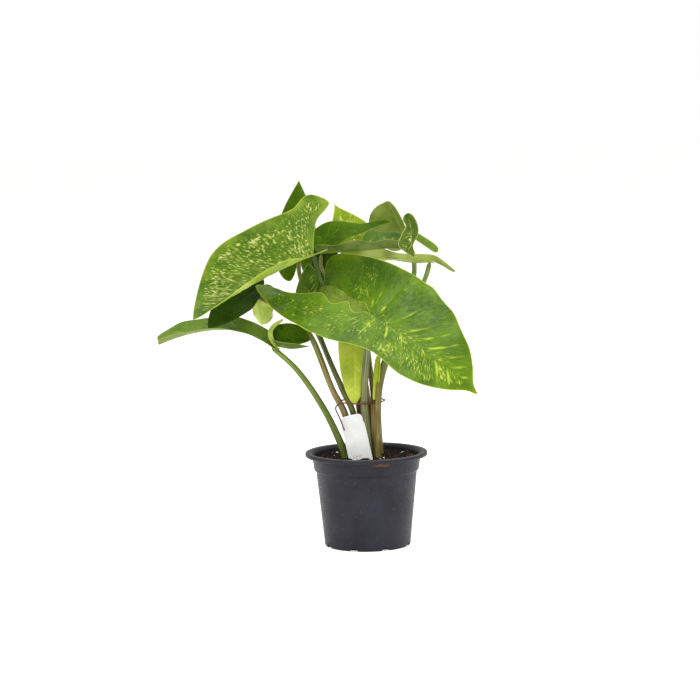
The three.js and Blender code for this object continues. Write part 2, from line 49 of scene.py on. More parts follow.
def put(tree, kind, inputs=None, **settings):
    # adds a node, sets it up, then fills or links its inputs
    node = tree.nodes.new(kind)
    for name, setting in settings.items():
        setattr(node, name, setting)
    for name, given in (inputs or {}).items():
        if isinstance(given, bpy.types.NodeSocket):
            tree.links.new(given, node.inputs[name])
        else:
            node.inputs[name].default_value = given
    return node


def calc(tree, operation, *operands):
    return put(tree, "ShaderNodeMath", dict(enumerate(operands)), operation=operation).outputs[0]


def plus(tree, first, second):
    return calc(tree, "ADD", first, second)


def minus(tree, first, second):
    return calc(tree, "SUBTRACT", first, second)


def times(tree, first, second):
    return calc(tree, "MULTIPLY", first, second)


def vectorCalc(tree, operation, *operands):
    node = put(tree, "ShaderNodeVectorMath", dict(enumerate(operands)), operation=operation)
    return node.outputs[0]


def scaled(tree, vector, share):
    node = put(tree, "ShaderNodeVectorMath", {0: vector, "Scale": share}, operation="SCALE")
    return node.outputs[0]


def vectorOf(tree, x=0.0, y=0.0, z=0.0):
    return put(tree, "ShaderNodeCombineXYZ", {0: x, 1: y, 2: z}).outputs[0]


def heightOf(tree, vector):
    return put(tree, "ShaderNodeSeparateXYZ", {0: vector}).outputs["Z"]


def colour(code):
    # a linear colour from its usual six digits
    shares = [int(code[i:i + 2], 16) / 255 for i in (0, 2, 4)]
    return (*[s / 12.92 if s <= 0.04045 else ((s + 0.055) / 1.055) ** 2.4 for s in shares], 1.0)


def mixColour(tree, share, first, second):
    # each colour is a socket or its six digits
    first, second = (colour(c) if isinstance(c, str) else c for c in (first, second))
    return put(tree, "ShaderNodeMix", {0: share, 6: first, 7: second}, data_type="RGBA").outputs[2]


def smoothStep(tree, source, low, high, toLow=0.0, toHigh=1.0):
    inputs = {0: source, 1: low, 2: high, 3: toLow, 4: toHigh}
    return put(tree, "ShaderNodeMapRange", inputs, interpolation_type="SMOOTHSTEP").outputs[0]


def noise(tree, place, scale, detail=2.0, roughness=0.5):
    inputs = {"Vector": place, "Scale": scale, "Detail": detail, "Roughness": roughness}
    return put(tree, "ShaderNodeTexNoise", inputs).outputs[0]


def attribute(tree, name, output="Fac"):
    return put(tree, "ShaderNodeAttribute", attribute_name=name).outputs[output]


def newGroup(name, kind, inputs, outputs):
    # inputs and outputs are {label: socket type}, or {label: (socket type, value)}
    tree = bpy.data.node_groups.new(name, kind)
    for direction, sockets in (("INPUT", inputs), ("OUTPUT", outputs)):
        for label, socket in sockets.items():
            socketType, start = socket if isinstance(socket, tuple) else (socket, None)
            made = tree.interface.new_socket(label, in_out=direction, socket_type="NodeSocket" + socketType)
            if start is not None:
                made.default_value = start
    return tree, tree.nodes.new("NodeGroupInput").outputs, tree.nodes.new("NodeGroupOutput").inputs


def useGroup(tree, group, inputs):
    return put(tree, "ShaderNodeGroup", inputs, node_tree=group).outputs


def newMaterial(name, **surface):
    # a Principled material whose plain settings are given by their socket names
    material = bpy.data.materials.new(name)
    material.use_nodes = True
    shader = material.node_tree.nodes["Principled BSDF"]
    for label, setting in surface.items():
        shader.inputs[label].default_value = setting
    return material, material.node_tree, shader.inputs


def objectPlace(tree):
    return put(tree, "ShaderNodeTexCoord").outputs["Object"]


def addBump(tree, surface, height, strength, distance=0.0003):
    bump = put(tree, "ShaderNodeBump", {"Height": height, "Strength": strength, "Distance": distance})
    tree.links.new(bump.outputs[0], surface["Normal"])


def store(tree, geometry, name, value, kind="FLOAT", domain="POINT"):
    inputs = {"Geometry": geometry, "Name": name, "Value": value}
    return put(tree, "GeometryNodeStoreNamedAttribute", inputs, data_type=kind, domain=domain).outputs[0]


def finishTree(tree, geometry, given, out):
    # the end of each form's tree: plain geometry in the material it was given
    whole = put(tree, "GeometryNodeRealizeInstances", {"Geometry": geometry}).outputs[0]
    dressed = put(tree, "GeometryNodeSetMaterial", {"Geometry": whole, "Material": given["Finish"]})
    tree.links.new(dressed.outputs[0], out["Geometry"])


# Helpers for meshes and curves.

def addObject(name, data):
    made = bpy.data.objects.new(name, data)
    scene.collection.objects.link(made)
    return made


def newPiece(name, points, faces, materials, materialIndex=None):
    # points in millimetres
    mesh = bpy.data.meshes.new(name)
    mesh.from_pydata((np.asarray(points) * mm).tolist(), [], faces)
    for material in materials:
        mesh.materials.append(material)
    if materialIndex is not None:
        mesh.polygons.foreach_set("material_index", np.asarray(materialIndex, np.int32))
    mesh.polygons.foreach_set("use_smooth", np.ones(len(faces), bool))
    return addObject(name, mesh)


def polyCurve(name, points, dimensions):
    # a curve of straight steps through points in millimetres
    curve = bpy.data.curves.new(name, "CURVE")
    curve.dimensions = dimensions
    spline = curve.splines.new("POLY")
    spline.points.add(len(points) - 1)
    spline.points.foreach_set("co", np.c_[np.asarray(points) * mm, np.ones(len(points))].ravel())
    return curve, spline


def addAttribute(piece, name, values):
    layer = piece.data.attributes.new(name, "FLOAT", "POINT")
    layer.data.foreach_set("value", np.asarray(values, np.float32))


def addUv(piece, name, corners):
    layer = piece.data.uv_layers.new(name=name)
    layer.data.foreach_set("uv", np.asarray(corners, np.float32).ravel())


def finishPiece(piece, slot, *nodes):
    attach(piece, "root")
    if nodes:
        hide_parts(*nodes)


def addModifierTree(piece, tree, settings):
    modifier = piece.modifiers.new("form", "NODES")
    modifier.node_group = tree
    identifiers = {item.name: item.identifier for item in tree.interface.items_tree
                   if item.item_type == "SOCKET" and item.in_out == "INPUT"}
    for label, setting in settings.items():
        modifier[identifiers[label]] = setting


def settle(piece, name):
    # turns a piece with its modifiers into a plain mesh of that name
    evaluated = piece.evaluated_get(bpy.context.evaluated_depsgraph_get())
    settled = addObject(name, bpy.data.meshes.new_from_object(evaluated))
    bpy.data.objects.remove(piece)
    return settled


def joinPieces(name, pieces):
    bpy.ops.object.select_all(action="DESELECT")
    for piece in pieces:
        piece.select_set(True)
    bpy.context.view_layer.objects.active = pieces[0]
    bpy.ops.object.join()
    pieces[0].name = name
    return pieces[0]


def unit(vectors):
    return vectors / np.linalg.norm(vectors, axis=-1, keepdims=True)


def bell(distance, width):
    return np.exp(-((distance / width) ** 2))


def smoothPath(points, perSpan=16):
    # a centripetal Catmull-Rom curve through the points
    points = [np.array(p, float) for p in points]
    whole = [2 * points[0] - points[1], *points, 2 * points[-1] - points[-2]]
    path = []
    for before, start, end, after in zip(whole, whole[1:], whole[2:], whole[3:]):
        steps = (start - before, end - start, after - end)
        gaps = [math.sqrt(np.linalg.norm(step)) for step in steps]
        leave = (start - before) / gaps[0] - (end - before) / (gaps[0] + gaps[1]) + (end - start) / gaps[1]
        arrive = (end - start) / gaps[1] - (after - start) / (gaps[1] + gaps[2]) + (after - end) / gaps[2]
        leave, arrive = leave * gaps[1], arrive * gaps[1]
        for t in np.arange(perSpan) / perSpan:
            path.append((2 * t**3 - 3 * t**2 + 1) * start + (t**3 - 2 * t**2 + t) * leave
                        + (3 * t**2 - 2 * t**3) * end + (t**3 - t**2) * arrive)
    return np.array([*path, points[-1]])


# Effects that several materials share.

def fleckGroup():
    # flecks drawn out along the veins, gathered in loose clusters, with broader patches among them
    tree, given, out = newGroup("leafFlecks", "ShaderNodeTree", {
        "Place": "Vector", "Fine": ("Float", 5.0), "Stretch": ("Float", 4.0), "Amount": ("Float", 0.5),
        "Gather": ("Float", 0.34), "Crowd": "Float", "Edge": ("Float", 10.0)},
        {"Fleck": "Float", "Halo": "Float", "Streak": "Float"})
    long = calc(tree, "DIVIDE", given["Fine"], given["Stretch"])
    drawn = vectorCalc(tree, "MULTIPLY", given["Place"], vectorOf(tree, given["Fine"], long, 1.0))
    fine = noise(tree, drawn, 1.0, 3.0, 0.6)
    broad = noise(tree, drawn, 0.36, 3.0, 0.6)
    cluster = noise(tree, given["Place"], 0.7, 1.5)
    spread = times(tree, minus(tree, cluster, 0.5), given["Gather"])
    inside = smoothStep(tree, given["Edge"], 2.0, 8.0, -0.12, 0.0)
    shift = plus(tree, plus(tree, spread, inside), given["Crowd"])
    limit = minus(tree, 0.78, times(tree, given["Amount"], 0.28))
    level = calc(tree, "MAXIMUM", plus(tree, fine, shift), minus(tree, plus(tree, broad, shift), 0.075))
    tree.links.new(smoothStep(tree, level, limit, plus(tree, limit, 0.08)), out["Fleck"])
    below = minus(tree, limit, 0.1)
    tree.links.new(smoothStep(tree, level, below, plus(tree, limit, 0.03)), out["Halo"])
    streaked = vectorCalc(tree, "MULTIPLY", given["Place"], (9.0, 2.2, 1.0))
    streak = noise(tree, streaked, 1.0, 4.0, 0.6)
    tree.links.new(smoothStep(tree, streak, 0.34, 0.66), out["Streak"])
    return tree


def lineGroup():
    # a soft line where a distance is small
    tree, given, out = newGroup("softLine", "ShaderNodeTree", {
        "Distance": "Float", "Width": ("Float", 0.5)}, {"Mask": "Float"})
    outer = times(tree, given["Width"], 1.6)
    inner = times(tree, given["Width"], 0.4)
    tree.links.new(smoothStep(tree, given["Distance"], inner, outer, 1.0, 0.0), out["Mask"])
    return tree


def mottleGroup():
    # uneven growth: broad clouds with a finer grain in them
    tree, given, out = newGroup("mottle", "ShaderNodeTree", {
        "Place": "Vector", "Scale": ("Float", 60.0)}, {"Cloud": "Float", "Grain": "Float"})
    cloud = noise(tree, given["Place"], given["Scale"], 2.0)
    grain = noise(tree, given["Place"], times(tree, given["Scale"], 14.0), 2.0)
    tree.links.new(smoothStep(tree, cloud, 0.32, 0.68), out["Cloud"])
    tree.links.new(grain, out["Grain"])
    return tree


def fibreGroup():
    # long streaks that run up a stalk, from the place round it and the reach along it
    tree, given, out = newGroup("fibres", "ShaderNodeTree", {
        "Around": "Vector", "Reach": "Float", "Fine": ("Float", 3.0)}, {"Streak": "Float", "Blotch": "Float"})
    risen = vectorCalc(tree, "ADD", given["Around"], vectorOf(tree, z=times(tree, given["Reach"], 9.0)))
    streak = noise(tree, risen, given["Fine"], 3.0, 0.6)
    lifted = vectorCalc(tree, "ADD", given["Around"], vectorOf(tree, z=times(tree, given["Reach"], 60.0)))
    blotch = noise(tree, lifted, 0.8, 3.0)
    tree.links.new(smoothStep(tree, streak, 0.36, 0.64), out["Streak"])
    tree.links.new(smoothStep(tree, blotch, 0.38, 0.66), out["Blotch"])
    return tree


flecks, softLine, mottle, fibres = fleckGroup(), lineGroup(), mottleGroup(), fibreGroup()
print("shared effects ready")


# Upper face: two greens, the yellow round a fleck and at the edge, the fleck, and the line colour of
# veins and edge. Under face: two pale greens. Where there is a darker green for the dim patches of
# painted shade, or another colour for the midrib, an entry names it.
plainFinish = {
    "deep": "4c6a1c", "light": "6c882c", "halo": "8ca044", "fleck": "cad088",
    "amount": 0.5, "gather": 0.34,  # how many flecks, and how much they gather in clusters
    "fine": 6.5, "stretch": 3.5,  # how small the flecks are, and how long for their width
    "vein": 0.7, "lively": 0.7,  # width of a vein's line, and its greatest strength
    "band": 0.2,  # how much of the halo's yellow runs along the edge
    "gloss": 0.42, "shine": 0.16,  # roughness and specular level
}

leafFinishes = {
    "flecked": {
        "deep": "355604", "light": "58780c", "halo": "7c9428", "fleck": "bcbe74", "line": "a8b04c",
        "underDeep": "829a2c", "underLight": "a2b84c", "amount": 0.76, "gather": 0.26, "fine": 8.6,
        "stretch": 2.6, "band": 0.7},
    "glossy": {
        "deep": "345204", "light": "5c8008", "halo": "80981c", "fleck": "b0bc4c", "line": "a4b834",
        # dim: the darker green of painted shade on the lobe
        "midrib": "2c4804", "dim": "243e02", "underDeep": "5e7a2c", "underLight": "809a46",
        "amount": 0.62, "fine": 7.6, "stretch": 2.4, "vein": 1.1, "lively": 0.9, "gloss": 0.36},
    "mid": {
        "deep": "2a4600", "light": "446402", "halo": "5c7810", "fleck": "8c9e3c", "line": "748a24",
        "underDeep": "3c5a06", "underLight": "627e10", "amount": 0.3, "fine": 8.5, "stretch": 3.0,
        "gloss": 0.5, "shine": 0.05},
    "low": {
        "deep": "4c6a18", "light": "68842e", "halo": "7c9438", "fleck": "a8b464", "line": "94a44c",
        "underDeep": "62762c", "underLight": "808f48", "amount": 0.3, "fine": 8.5, "stretch": 3.0,
        "gloss": 0.4, "shine": 0.12},
    "dark": {
        "deep": "2c4606", "light": "486614", "halo": "587620", "fleck": "a4b054", "line": "7c8c48",
        "underDeep": "4c6020", "underLight": "6e8038", "amount": 0.7, "stretch": 4.0, "gloss": 0.44,
        "shine": 0.08},
    "crest": {
        "deep": "30480c", "light": "4c6418", "halo": "7c9040", "fleck": "c4c888", "line": "a4ac64",
        "underDeep": "48561c", "underLight": "667430", "amount": 0.78, "stretch": 5.0, "gloss": 0.44,
        "shine": 0.08},
    # painted shade: very dark greens for a lobe that lies in the shadow of the leaves above
    "shadowed": {
        "deep": "1c3402", "light": "2c4604", "halo": "4c6c10", "fleck": "8cac30", "line": "3c5810",
        "underDeep": "1c3402", "underLight": "304a08", "fine": 6.0, "stretch": 2.5, "gloss": 0.5,
        "shine": 0.05},
    "sinus": {
        "deep": "3c500c", "light": "748c34", "halo": "70802c", "fleck": "94a04c", "line": "5c6824",
        "underDeep": "3c500c", "underLight": "6c8430", "amount": 0.2, "gloss": 0.5, "shine": 0.05},
    "turned": {
        "deep": "6c8418", "light": "8ca02c", "halo": "9cac40", "fleck": "bcc468", "line": "acb45c",
        "underDeep": "6e8222", "underLight": "a0ae52", "amount": 0.3},
    # painted shade: the dark greens of a leaf that lies in the shadow of the leaf above it
    "shade": {
        "deep": "183002", "light": "2a4404", "halo": "3a5408", "fleck": "4c6418", "line": "304c08",
        "underDeep": "4a5818", "underLight": "68762c", "amount": 0.2, "fine": 8.0, "stretch": 4.0,
        "gloss": 0.5, "shine": 0.05},
    "fresh": {
        "deep": "6c8a10", "light": "94a826", "halo": "b4c448", "fleck": "d8dc8c", "line": "c0c860",
        "underDeep": "809830", "underLight": "a4b65a", "amount": 0.8, "fine": 8.0, "stretch": 2.6},
    "young": {
        "deep": "98b01c", "light": "c4d04c", "halo": "c4cc58", "fleck": "d8dc8c", "line": "b4c248",
        # dim: the darker green of the painted shadow that the front leaf casts on the young leaf
        "dim": "5c6e10", "underDeep": "809830", "underLight": "a4b65a", "amount": 0.56, "fine": 4.0,
        "stretch": 5.0, "vein": 0.4, "lively": 0.4},
    "pale": {"line": "a8b268", "underDeep": "6a7e20", "underLight": "90a23e"},
    "olive": {"line": "8c9a40", "underDeep": "5c6e20", "underLight": "7e9040", "amount": 0.3, "shine": 0.12},
    "hanging": {"line": "b4c060", "underDeep": "98ae44", "underLight": "bccc66"},
}

leafFlesh = {"Subsurface Weight": 0.08, "Subsurface Scale": 0.0015, "Subsurface Radius": (1.0, 0.9, 0.2)}


def lineMask(tree, name, width):
    return useGroup(tree, softLine, {"Distance": attribute(tree, name), "Width": width})["Mask"]


def upperMaterial(name, finish):
    material, tree, surface = newMaterial(name + "Upper", **leafFlesh, **{
        "Roughness": finish["gloss"], "Specular IOR Level": finish["shine"]})
    place = objectPlace(tree)
    veinPlace = put(tree, "ShaderNodeUVMap", uv_map="veins").outputs[0]
    edge = attribute(tree, "edgeDistance")
    cloud = useGroup(tree, mottle, {"Place": place, "Scale": 45.0})
    speck = useGroup(tree, flecks, {
        "Place": veinPlace, "Fine": finish["fine"], "Stretch": finish["stretch"], "Amount": finish["amount"],
        "Gather": finish["gather"], "Crowd": attribute(tree, "crowd"), "Edge": edge})
    tone = plus(tree, times(tree, cloud["Cloud"], 0.5), times(tree, speck["Streak"], 0.5))
    base = mixColour(tree, tone, finish["deep"], finish["light"])
    # painted shade: the dim patches darken the green where the blade lies in shade
    base = mixColour(tree, attribute(tree, "dim"), base, finish["dim"])
    base = mixColour(tree, times(tree, speck["Halo"], 0.7), base, finish["halo"])
    margin = times(tree, smoothStep(tree, edge, 2.0, 9.0, 1.0, 0.0), cloud["Cloud"])
    base = mixColour(tree, times(tree, margin, finish["band"]), base, finish["halo"])
    lively = smoothStep(tree, noise(tree, veinPlace, 0.8, 1.0), 0.45, 0.65, 0.05, finish["lively"])
    vein = times(tree, lineMask(tree, "veinDistance", finish["vein"]), lively)
    base = mixColour(tree, vein, base, finish["line"])
    base = mixColour(tree, speck["Fleck"], base, finish["fleck"])
    midrib = times(tree, lineMask(tree, "midribDistance", 0.5), 0.6)
    base = mixColour(tree, midrib, base, finish["midrib"])
    rim = times(tree, lineMask(tree, "edgeDistance", 0.5), 0.75)
    base = mixColour(tree, rim, base, finish["line"])
    tree.links.new(base, surface["Base Color"])
    rough = smoothStep(tree, cloud["Grain"], 0.3, 0.7, finish["gloss"] - 0.07, finish["gloss"] + 0.09)
    tree.links.new(rough, surface["Roughness"])
    cells = plus(tree, noise(tree, place, 900.0, 2.0), times(tree, cloud["Grain"], 1.2))
    addBump(tree, surface, cells, 0.25)
    return material


def underMaterial(name, finish):
    material, tree, surface = newMaterial(name + "Under", **leafFlesh, **{
        "Roughness": 0.55, "Specular IOR Level": finish["shine"]})
    cloud = useGroup(tree, mottle, {"Place": objectPlace(tree), "Scale": 55.0})
    base = mixColour(tree, cloud["Cloud"], finish["underDeep"], finish["underLight"])
    base = mixColour(tree, times(tree, lineMask(tree, "veinDistance", 0.6), 0.35), base, finish["line"])
    base = mixColour(tree, times(tree, lineMask(tree, "edgeDistance", 0.5), 0.6), base, finish["line"])
    tree.links.new(base, surface["Base Color"])
    addBump(tree, surface, cloud["Grain"], 0.3)
    return material


def makeLeafMaterials(name, own):
    finish = {**plainFinish, **own}
    finish = {"dim": finish["deep"], "midrib": finish["line"], **finish}
    return upperMaterial(name, finish), underMaterial(name, finish)


leafMaterials = {name: makeLeafMaterials(name, own) for name, own in leafFinishes.items()}
print("leaf materials ready")


# What a blade has unless its own entry says otherwise. Pairs are left and right, looking
# from the joint to the tip with the upper face up. Lengths in millimetres, angles in degrees.
plainBlade = {
    "roll": 0, "twist": 0,  # turn about the midrib at the joint, and how much more by the tip
    "arch": 0, "crest": 0.5,  # rise of the midrib, highest at the crest's share of its length
    "halfWidth": (30, 30), "taper": 0.9,
    "lobe": (25, 25), "lobeEnd": (0.4, 0.4), "lobeRise": (0, 0), "lobeSplay": (0, 0), "sinus": (0.25, 0.25),
    "fold": (15, 15), "curl": (0, 0),
    "corner": (2.2, 2.2),  # squareness of the lobes
    "margin": (), "inner": (),  # swells of the outer edge, and of a lobe's inner edge
    "wave": (0, 0), "waves": 2.5,
    "veinPitch": 11, "veinSweep": 0.75,  # gap between side veins, and how far they lean to the tip
    "quilt": 0.3, "ripple": 0.5,  # swell between the veins, and slow unevenness of the sheet
    "calm": (0, 0),  # sides with fewer flecks
    "crowd": (), "dim": (),  # patches with more flecks, and dim patches of painted shade in a darker green
    "slot": "leaf_green", "finish": "glossy",
}

blades = {
    "left_broad": {
        "joint": (-42, -6, 252), "tip": (-144, -34, 200.5), "roll": 34, "arch": 5, "halfWidth": (38, 43),
        "lobe": (8, 33), "lobeEnd": (0.5, 0.63), "lobeRise": (0, 3), "lobeSplay": (0, 8), "sinus": (0.25, 1),
        "fold": (30, 22), "curl": (44, 36), "taper": 0.84, "finish": "flecked", "veinSweep": 0.9,
        "margin": ((0, 0.04, -0.5, 0.16), (1, -0.13, 0.2, 0.12), (1, 0.66, 0.2, 0.22)),
        "inner": ((1, -0.115, 8.5, 0.1),)},
    "front_broad": {
        "joint": (5, -36, 204), "tip": (92, -87, 140), "roll": -46, "twist": 10, "arch": 6,
        "halfWidth": (47, 52), "lobe": (75, 95), "lobeEnd": (0.56, 0.78), "lobeRise": (-14, 4),
        "fold": (10, 4), "curl": (20, 12), "sinus": (0.1, 0.7), "taper": 1, "veinPitch": 13,
        # dim: painted shade over the left lobe
        "corner": (1.4, 2.2), "calm": (0.12, 0.02), "dim": ((0, -40, 42, 36, 0.75),),
        "crowd": ((1, 38, 25, 11, 0.1), (1, 62, 13, 9, 0.06), (1, 88, 12, 12, 0.03), (0, -22, 19, 16, 0.09),
                  (0, 40, 3, 9, 0.05), (1, 40, 3, 9, 0.05)),
        "margin": ((0, 0.95, -0.45, 0.07), (0, 0.28, 0.03, 0.05), (0, 0.5, 0.035, 0.06),
                   (0, 0.74, 0.04, 0.06), (1, 0.95, -0.45, 0.07), (1, 0.25, -0.38, 0.3),
                   (1, -0.5, 0.05, 0.15)),
        "inner": ((0, -0.5, -8, 0.09), (0, -0.08, 4, 0.07), (1, -0.09, 5, 0.05), (1, -0.2, -5, 0.035),
                  (1, -0.28, 2, 0.04), (1, -0.41, -7, 0.07), (1, -0.6, 2, 0.06))},
    "left_low": {
        "joint": (-78, -14, 175), "tip": (-175.5, -8, 177), "roll": 8, "twist": -26, "arch": 14, "crest": 0.4,
        "halfWidth": (13, 18), "lobe": (6, 12), "lobeEnd": (0.4, 0.5), "lobeRise": (3, 4), "fold": (0, 38),
        "curl": (8, 8), "taper": 0.12, "finish": "low", "wave": (0.6, 0.6)},
    "left_dark": {
        "joint": (-85.5, 16, 224.5), "tip": (-131.5, -32, 193), "roll": 46, "arch": 6, "halfWidth": (15, 19),
        "lobe": (6, 6), "fold": (4, 4), "curl": (16, 16), "slot": "leaf_dark", "finish": "shade",
        "veinPitch": 9, "taper": 0.75, "wave": (1.5, 1.5), "waves": 2,
        "margin": ((0, 0.16, -0.5, 0.24), (1, 0.4, -0.32, 0.07), (1, 0.64, 0.15, 0.12))},
    "left_pale": {
        "joint": (-92, 14, 214.5), "tip": (-88, 18, 189.5), "halfWidth": (13, 14), "lobe": (3, 3),
        "taper": 0.5, "slot": "leaf_pale", "finish": "hanging", "veinPitch": 6, "wave": (0.8, 0.8)},
    "back_upright": {
        "joint": (-56, 74, 247.5), "tip": (-55, 88, 310), "halfWidth": (21, 17), "lobe": (26, 20),
        "taper": 1.1, "finish": "mid"},
    "top_bright": {
        "joint": (-9, 78, 259), "tip": (-24.5, 82, 289.5), "roll": 76, "halfWidth": (20, 19), "lobe": (6, 6),
        "fold": (8, 8), "taper": 1.5, "slot": "leaf_bright", "finish": "fresh", "veinPitch": 7},
    "top_middle": {
        "joint": (-39, 48, 252), "tip": (26, 56, 274), "arch": 7, "crest": 0.45, "halfWidth": (21, 17),
        "lobe": (10, 8), "fold": (38, -22), "margin": ((0, 0.68, -0.88, 0.27),), "wave": (0, 1.2),
        "finish": "mid"},
    "right_waved": {
        "joint": (-36, 18, 251), "tip": (42, 10, 256), "halfWidth": (24, 14), "lobe": (4, 4),
        "fold": (38, 36), "taper": 0.45, "margin": ((0, 0.15, -0.9, 0.2), (0, 0.36, -0.7, 0.1)),
        "wave": (2, 1.4), "slot": "leaf_dark", "finish": "dark"},
    "back_right": {
        "joint": (36.5, 70, 260.5), "tip": (22, 58, 292), "roll": -45, "halfWidth": (5, 25), "lobe": (10, 12),
        "fold": (10, 10), "taper": 0.5, "slot": "leaf_pale", "finish": "olive", "veinPitch": 8},
    "right_pale": {
        "joint": (58, 30, 241.5), "tip": (-22.5, 27, 245), "roll": -26, "arch": 2, "halfWidth": (15, 14),
        "lobe": (22, 4), "lobeEnd": (0.8, 0.4), "lobeRise": (-14, 0), "fold": (4, 4), "curl": (12, 12),
        "taper": 0.3, "margin": ((0, 0.28, -0.35, 0.25), (0, -0.1, 0.3, 0.08)), "slot": "leaf_pale",
        "finish": "turned", "veinPitch": 9, "wave": (1.2, 1.2)},
    "middle_dark": {
        "joint": (-44.5, 10, 192.5), "tip": (-47, 16, 242.5), "halfWidth": (18, 17), "lobe": (8, 8),
        "slot": "leaf_dark", "finish": "dark", "veinPitch": 9},
    "new": {
        "joint": (-9, -4, 198.5), "tip": (-9.5, -8.5, 123), "halfWidth": (13, 13.5), "lobe": (8, 8),
        "fold": (-8, 16), "taper": 0.65, "slot": "leaf_bright", "finish": "young", "veinPitch": 9,
        # dim: painted shadow of the front leaf, darkest over the young leaf's upper part
        "dim": ((0, 10, 4, 22, 0.8), (1, 10, 4, 22, 0.8), (1, 50, 9, 10, 0.5))},
}

# Lobes that turn out of their blade's own surface.
turnedLobes = {
    "left_fold": {
        "of": "left_low", "joint": (-77, -13, 177.5), "tip": (-46, -12, 179.5), "roll": -62,
        "halfWidth": (16, 6), "lobe": (3, 3), "fold": (10, 30), "taper": 0.6, "finish": "mid"},
    "right_tip": {
        "of": "right_waved", "joint": (41.5, 12, 264.5), "tip": (43.5, 8, 246), "halfWidth": (8, 12),
        "lobe": (20, 20), "lobeEnd": (0.01, 0.01), "sinus": (0, 0), "finish": "crest",
        "margin": ((0, 0.5, -0.92, 0.45), (1, 0.5, 0.5, 0.35), (1, -0.45, -0.55, 0.25))},
    "right_small": {
        "of": "back_right", "joint": (40.3, 68.3, 264.3), "tip": (66, 64, 246.5), "roll": -55,
        "halfWidth": (4.5, 3.5), "lobe": (4, 4), "taper": 0.3, "finish": "pale"},
    "left_strip": {
        "of": "left_low", "joint": (-75, -16, 176), "tip": (-47, -22, 175), "roll": 32, "arch": -1.5,
        "halfWidth": (4, 7), "lobe": (3, 3), "fold": (6, 6), "finish": "dark"},
    # waved_lobe fills a shaded gap behind a stalk, in the painted shade of its finish
    "waved_lobe": {
        "of": "right_waved", "joint": (-33, 21, 253.5), "tip": (-32, 30, 224.5), "halfWidth": (12, 12),
        "lobe": (2, 2), "fold": (8, 8), "taper": 0.6, "finish": "shadowed"},
    "front_fold": {
        "of": "front_broad", "joint": (3.5, -34, 204.5), "tip": (-37, -4, 223), "roll": 40,
        "halfWidth": (10, 5), "lobe": (3, 3), "fold": (4, 4), "taper": 0.5, "finish": "sinus",
        "margin": ((1, 0.85, 1, 0.18), (1, 0.1, 0.6, 0.15))},
    "left_twist": {
        "of": "left_low", "joint": (-75.5, -16, 176.5), "tip": (-69.5, -20, 199), "roll": -75, "twist": 150,
        "arch": 6, "halfWidth": (4.5, 4.5), "lobe": (2, 2), "fold": (30, 30), "finish": "fresh"},
}

# Thin sheaths that open beside a stalk, by the stem they belong to.
wings = {
    "stem_back": {
        "joint": (8.6, -10.5, 128.5), "tip": (12, -3, 164), "halfWidth": (3.4, 3), "lobe": (2, 2),
        "fold": (20, 20), "taper": 0.3, "quilt": 0, "ripple": 0, "finish": "young", "veinPitch": 5},
}

sheetForm = {
    "cell": 0.95, "crowding": 1.3,  # grid step, and how the columns draw together at the midrib
    "thickness": 0.5, "rimThickness": 0.26, "rimFade": 1.2,
    "midribGroove": 0.4, "midribRib": 1.0, "midribWidth": 1.3, "midribEnd": 0.8,
    "midribTip": (0.35, 0.15),  # shares of its width and height that are left at the tip
    "veinGroove": 0.16, "veinRib": 0.22, "veinWidth": 0.75,
    "veinStart": 1.5, "veinFade": 40,  # where a side vein starts to show, and how far it carries
    "veinBow": (5, 7), "veinGather": 0.28,  # more lean by the midrib, and less of it by the joint
    "veinHalvings": 24,  # steps in which the place where a vein leaves the midrib is found
    "lobeVeinAngle": 19,  # degrees between the veins that fan into a lobe
    "edgeFade": 4, "midribFade": 6,  # widths of the smooth strips along the edge and the midrib
    "quiltRise": 2.6,  # how far from a vein the sheet has swollen up
    "calmFade": 9,  # how far from the midrib a side's calm is full
    "farthest": 20,  # greatest distance that a finish is told
    "sideShift": 37,  # keeps the flecks of the two sides apart
}


def bladeLength(leaf):
    return float(np.linalg.norm(np.subtract(leaf["tip"], leaf["joint"])))


def bladePoint(leaf, side, along, out):
    # points of the middle surface at `along` from the joint and `out` from the midrib
    joint, tip = np.array(leaf["joint"], float), np.array(leaf["tip"], float)
    length = bladeLength(leaf)
    forward = (tip - joint) / length
    up = unit(np.array([0, 0, 1]) - forward * forward[2])
    right = np.cross(forward, up)
    share = along / length
    ahead = np.maximum(share, 0)
    roll = np.radians(leaf["roll"] + leaf["twist"] * ahead)[:, None]
    flat = np.cos(roll) * right + np.sin(roll) * up
    normal = np.cos(roll) * up - np.sin(roll) * right
    reach = np.where(ahead < leaf["crest"], leaf["crest"], 1 - leaf["crest"])
    fall = (leaf["crest"] - ahead) / reach
    slope = 2 * leaf["arch"] * fall / (reach * length)
    run = np.where(share > 0, along, along / np.hypot(1, slope))
    rise = np.where(share > 0, leaf["arch"] * (1 - fall**2), run * slope)
    face = unit(np.cross(flat, unit(forward + normal * slope[:, None])))
    halfWidth = leaf["halfWidth"][side]
    bend = math.radians(leaf["curl"][side]) / halfWidth * out * 0.5
    chord = out * np.sinc(bend / math.pi)
    turn = math.radians(leaf["fold"][side]) + bend
    back = np.maximum(-along / leaf["lobe"][side], 0) ** 1.5
    phase = 2 * math.pi * leaf["waves"] * share + side * 1.9
    ripple = leaf["wave"][side] * (out / halfWidth) ** 2 * np.sin(phase)
    across = (chord * np.cos(turn) + leaf["lobeSplay"][side] * back) * (-1 if side == 0 else 1)
    lift = chord * np.sin(turn) + ripple + leaf["lobeRise"][side] * back
    return (joint + forward * run[:, None] + normal * rise[:, None] + flat * across[:, None]
            + face * lift[:, None])


def swells(entries, side, share):
    # sum of the smooth swells of one side: (side, place, height, span)
    return sum(height * bell(share - place, span)
               for of, place, height, span in entries if of == side)


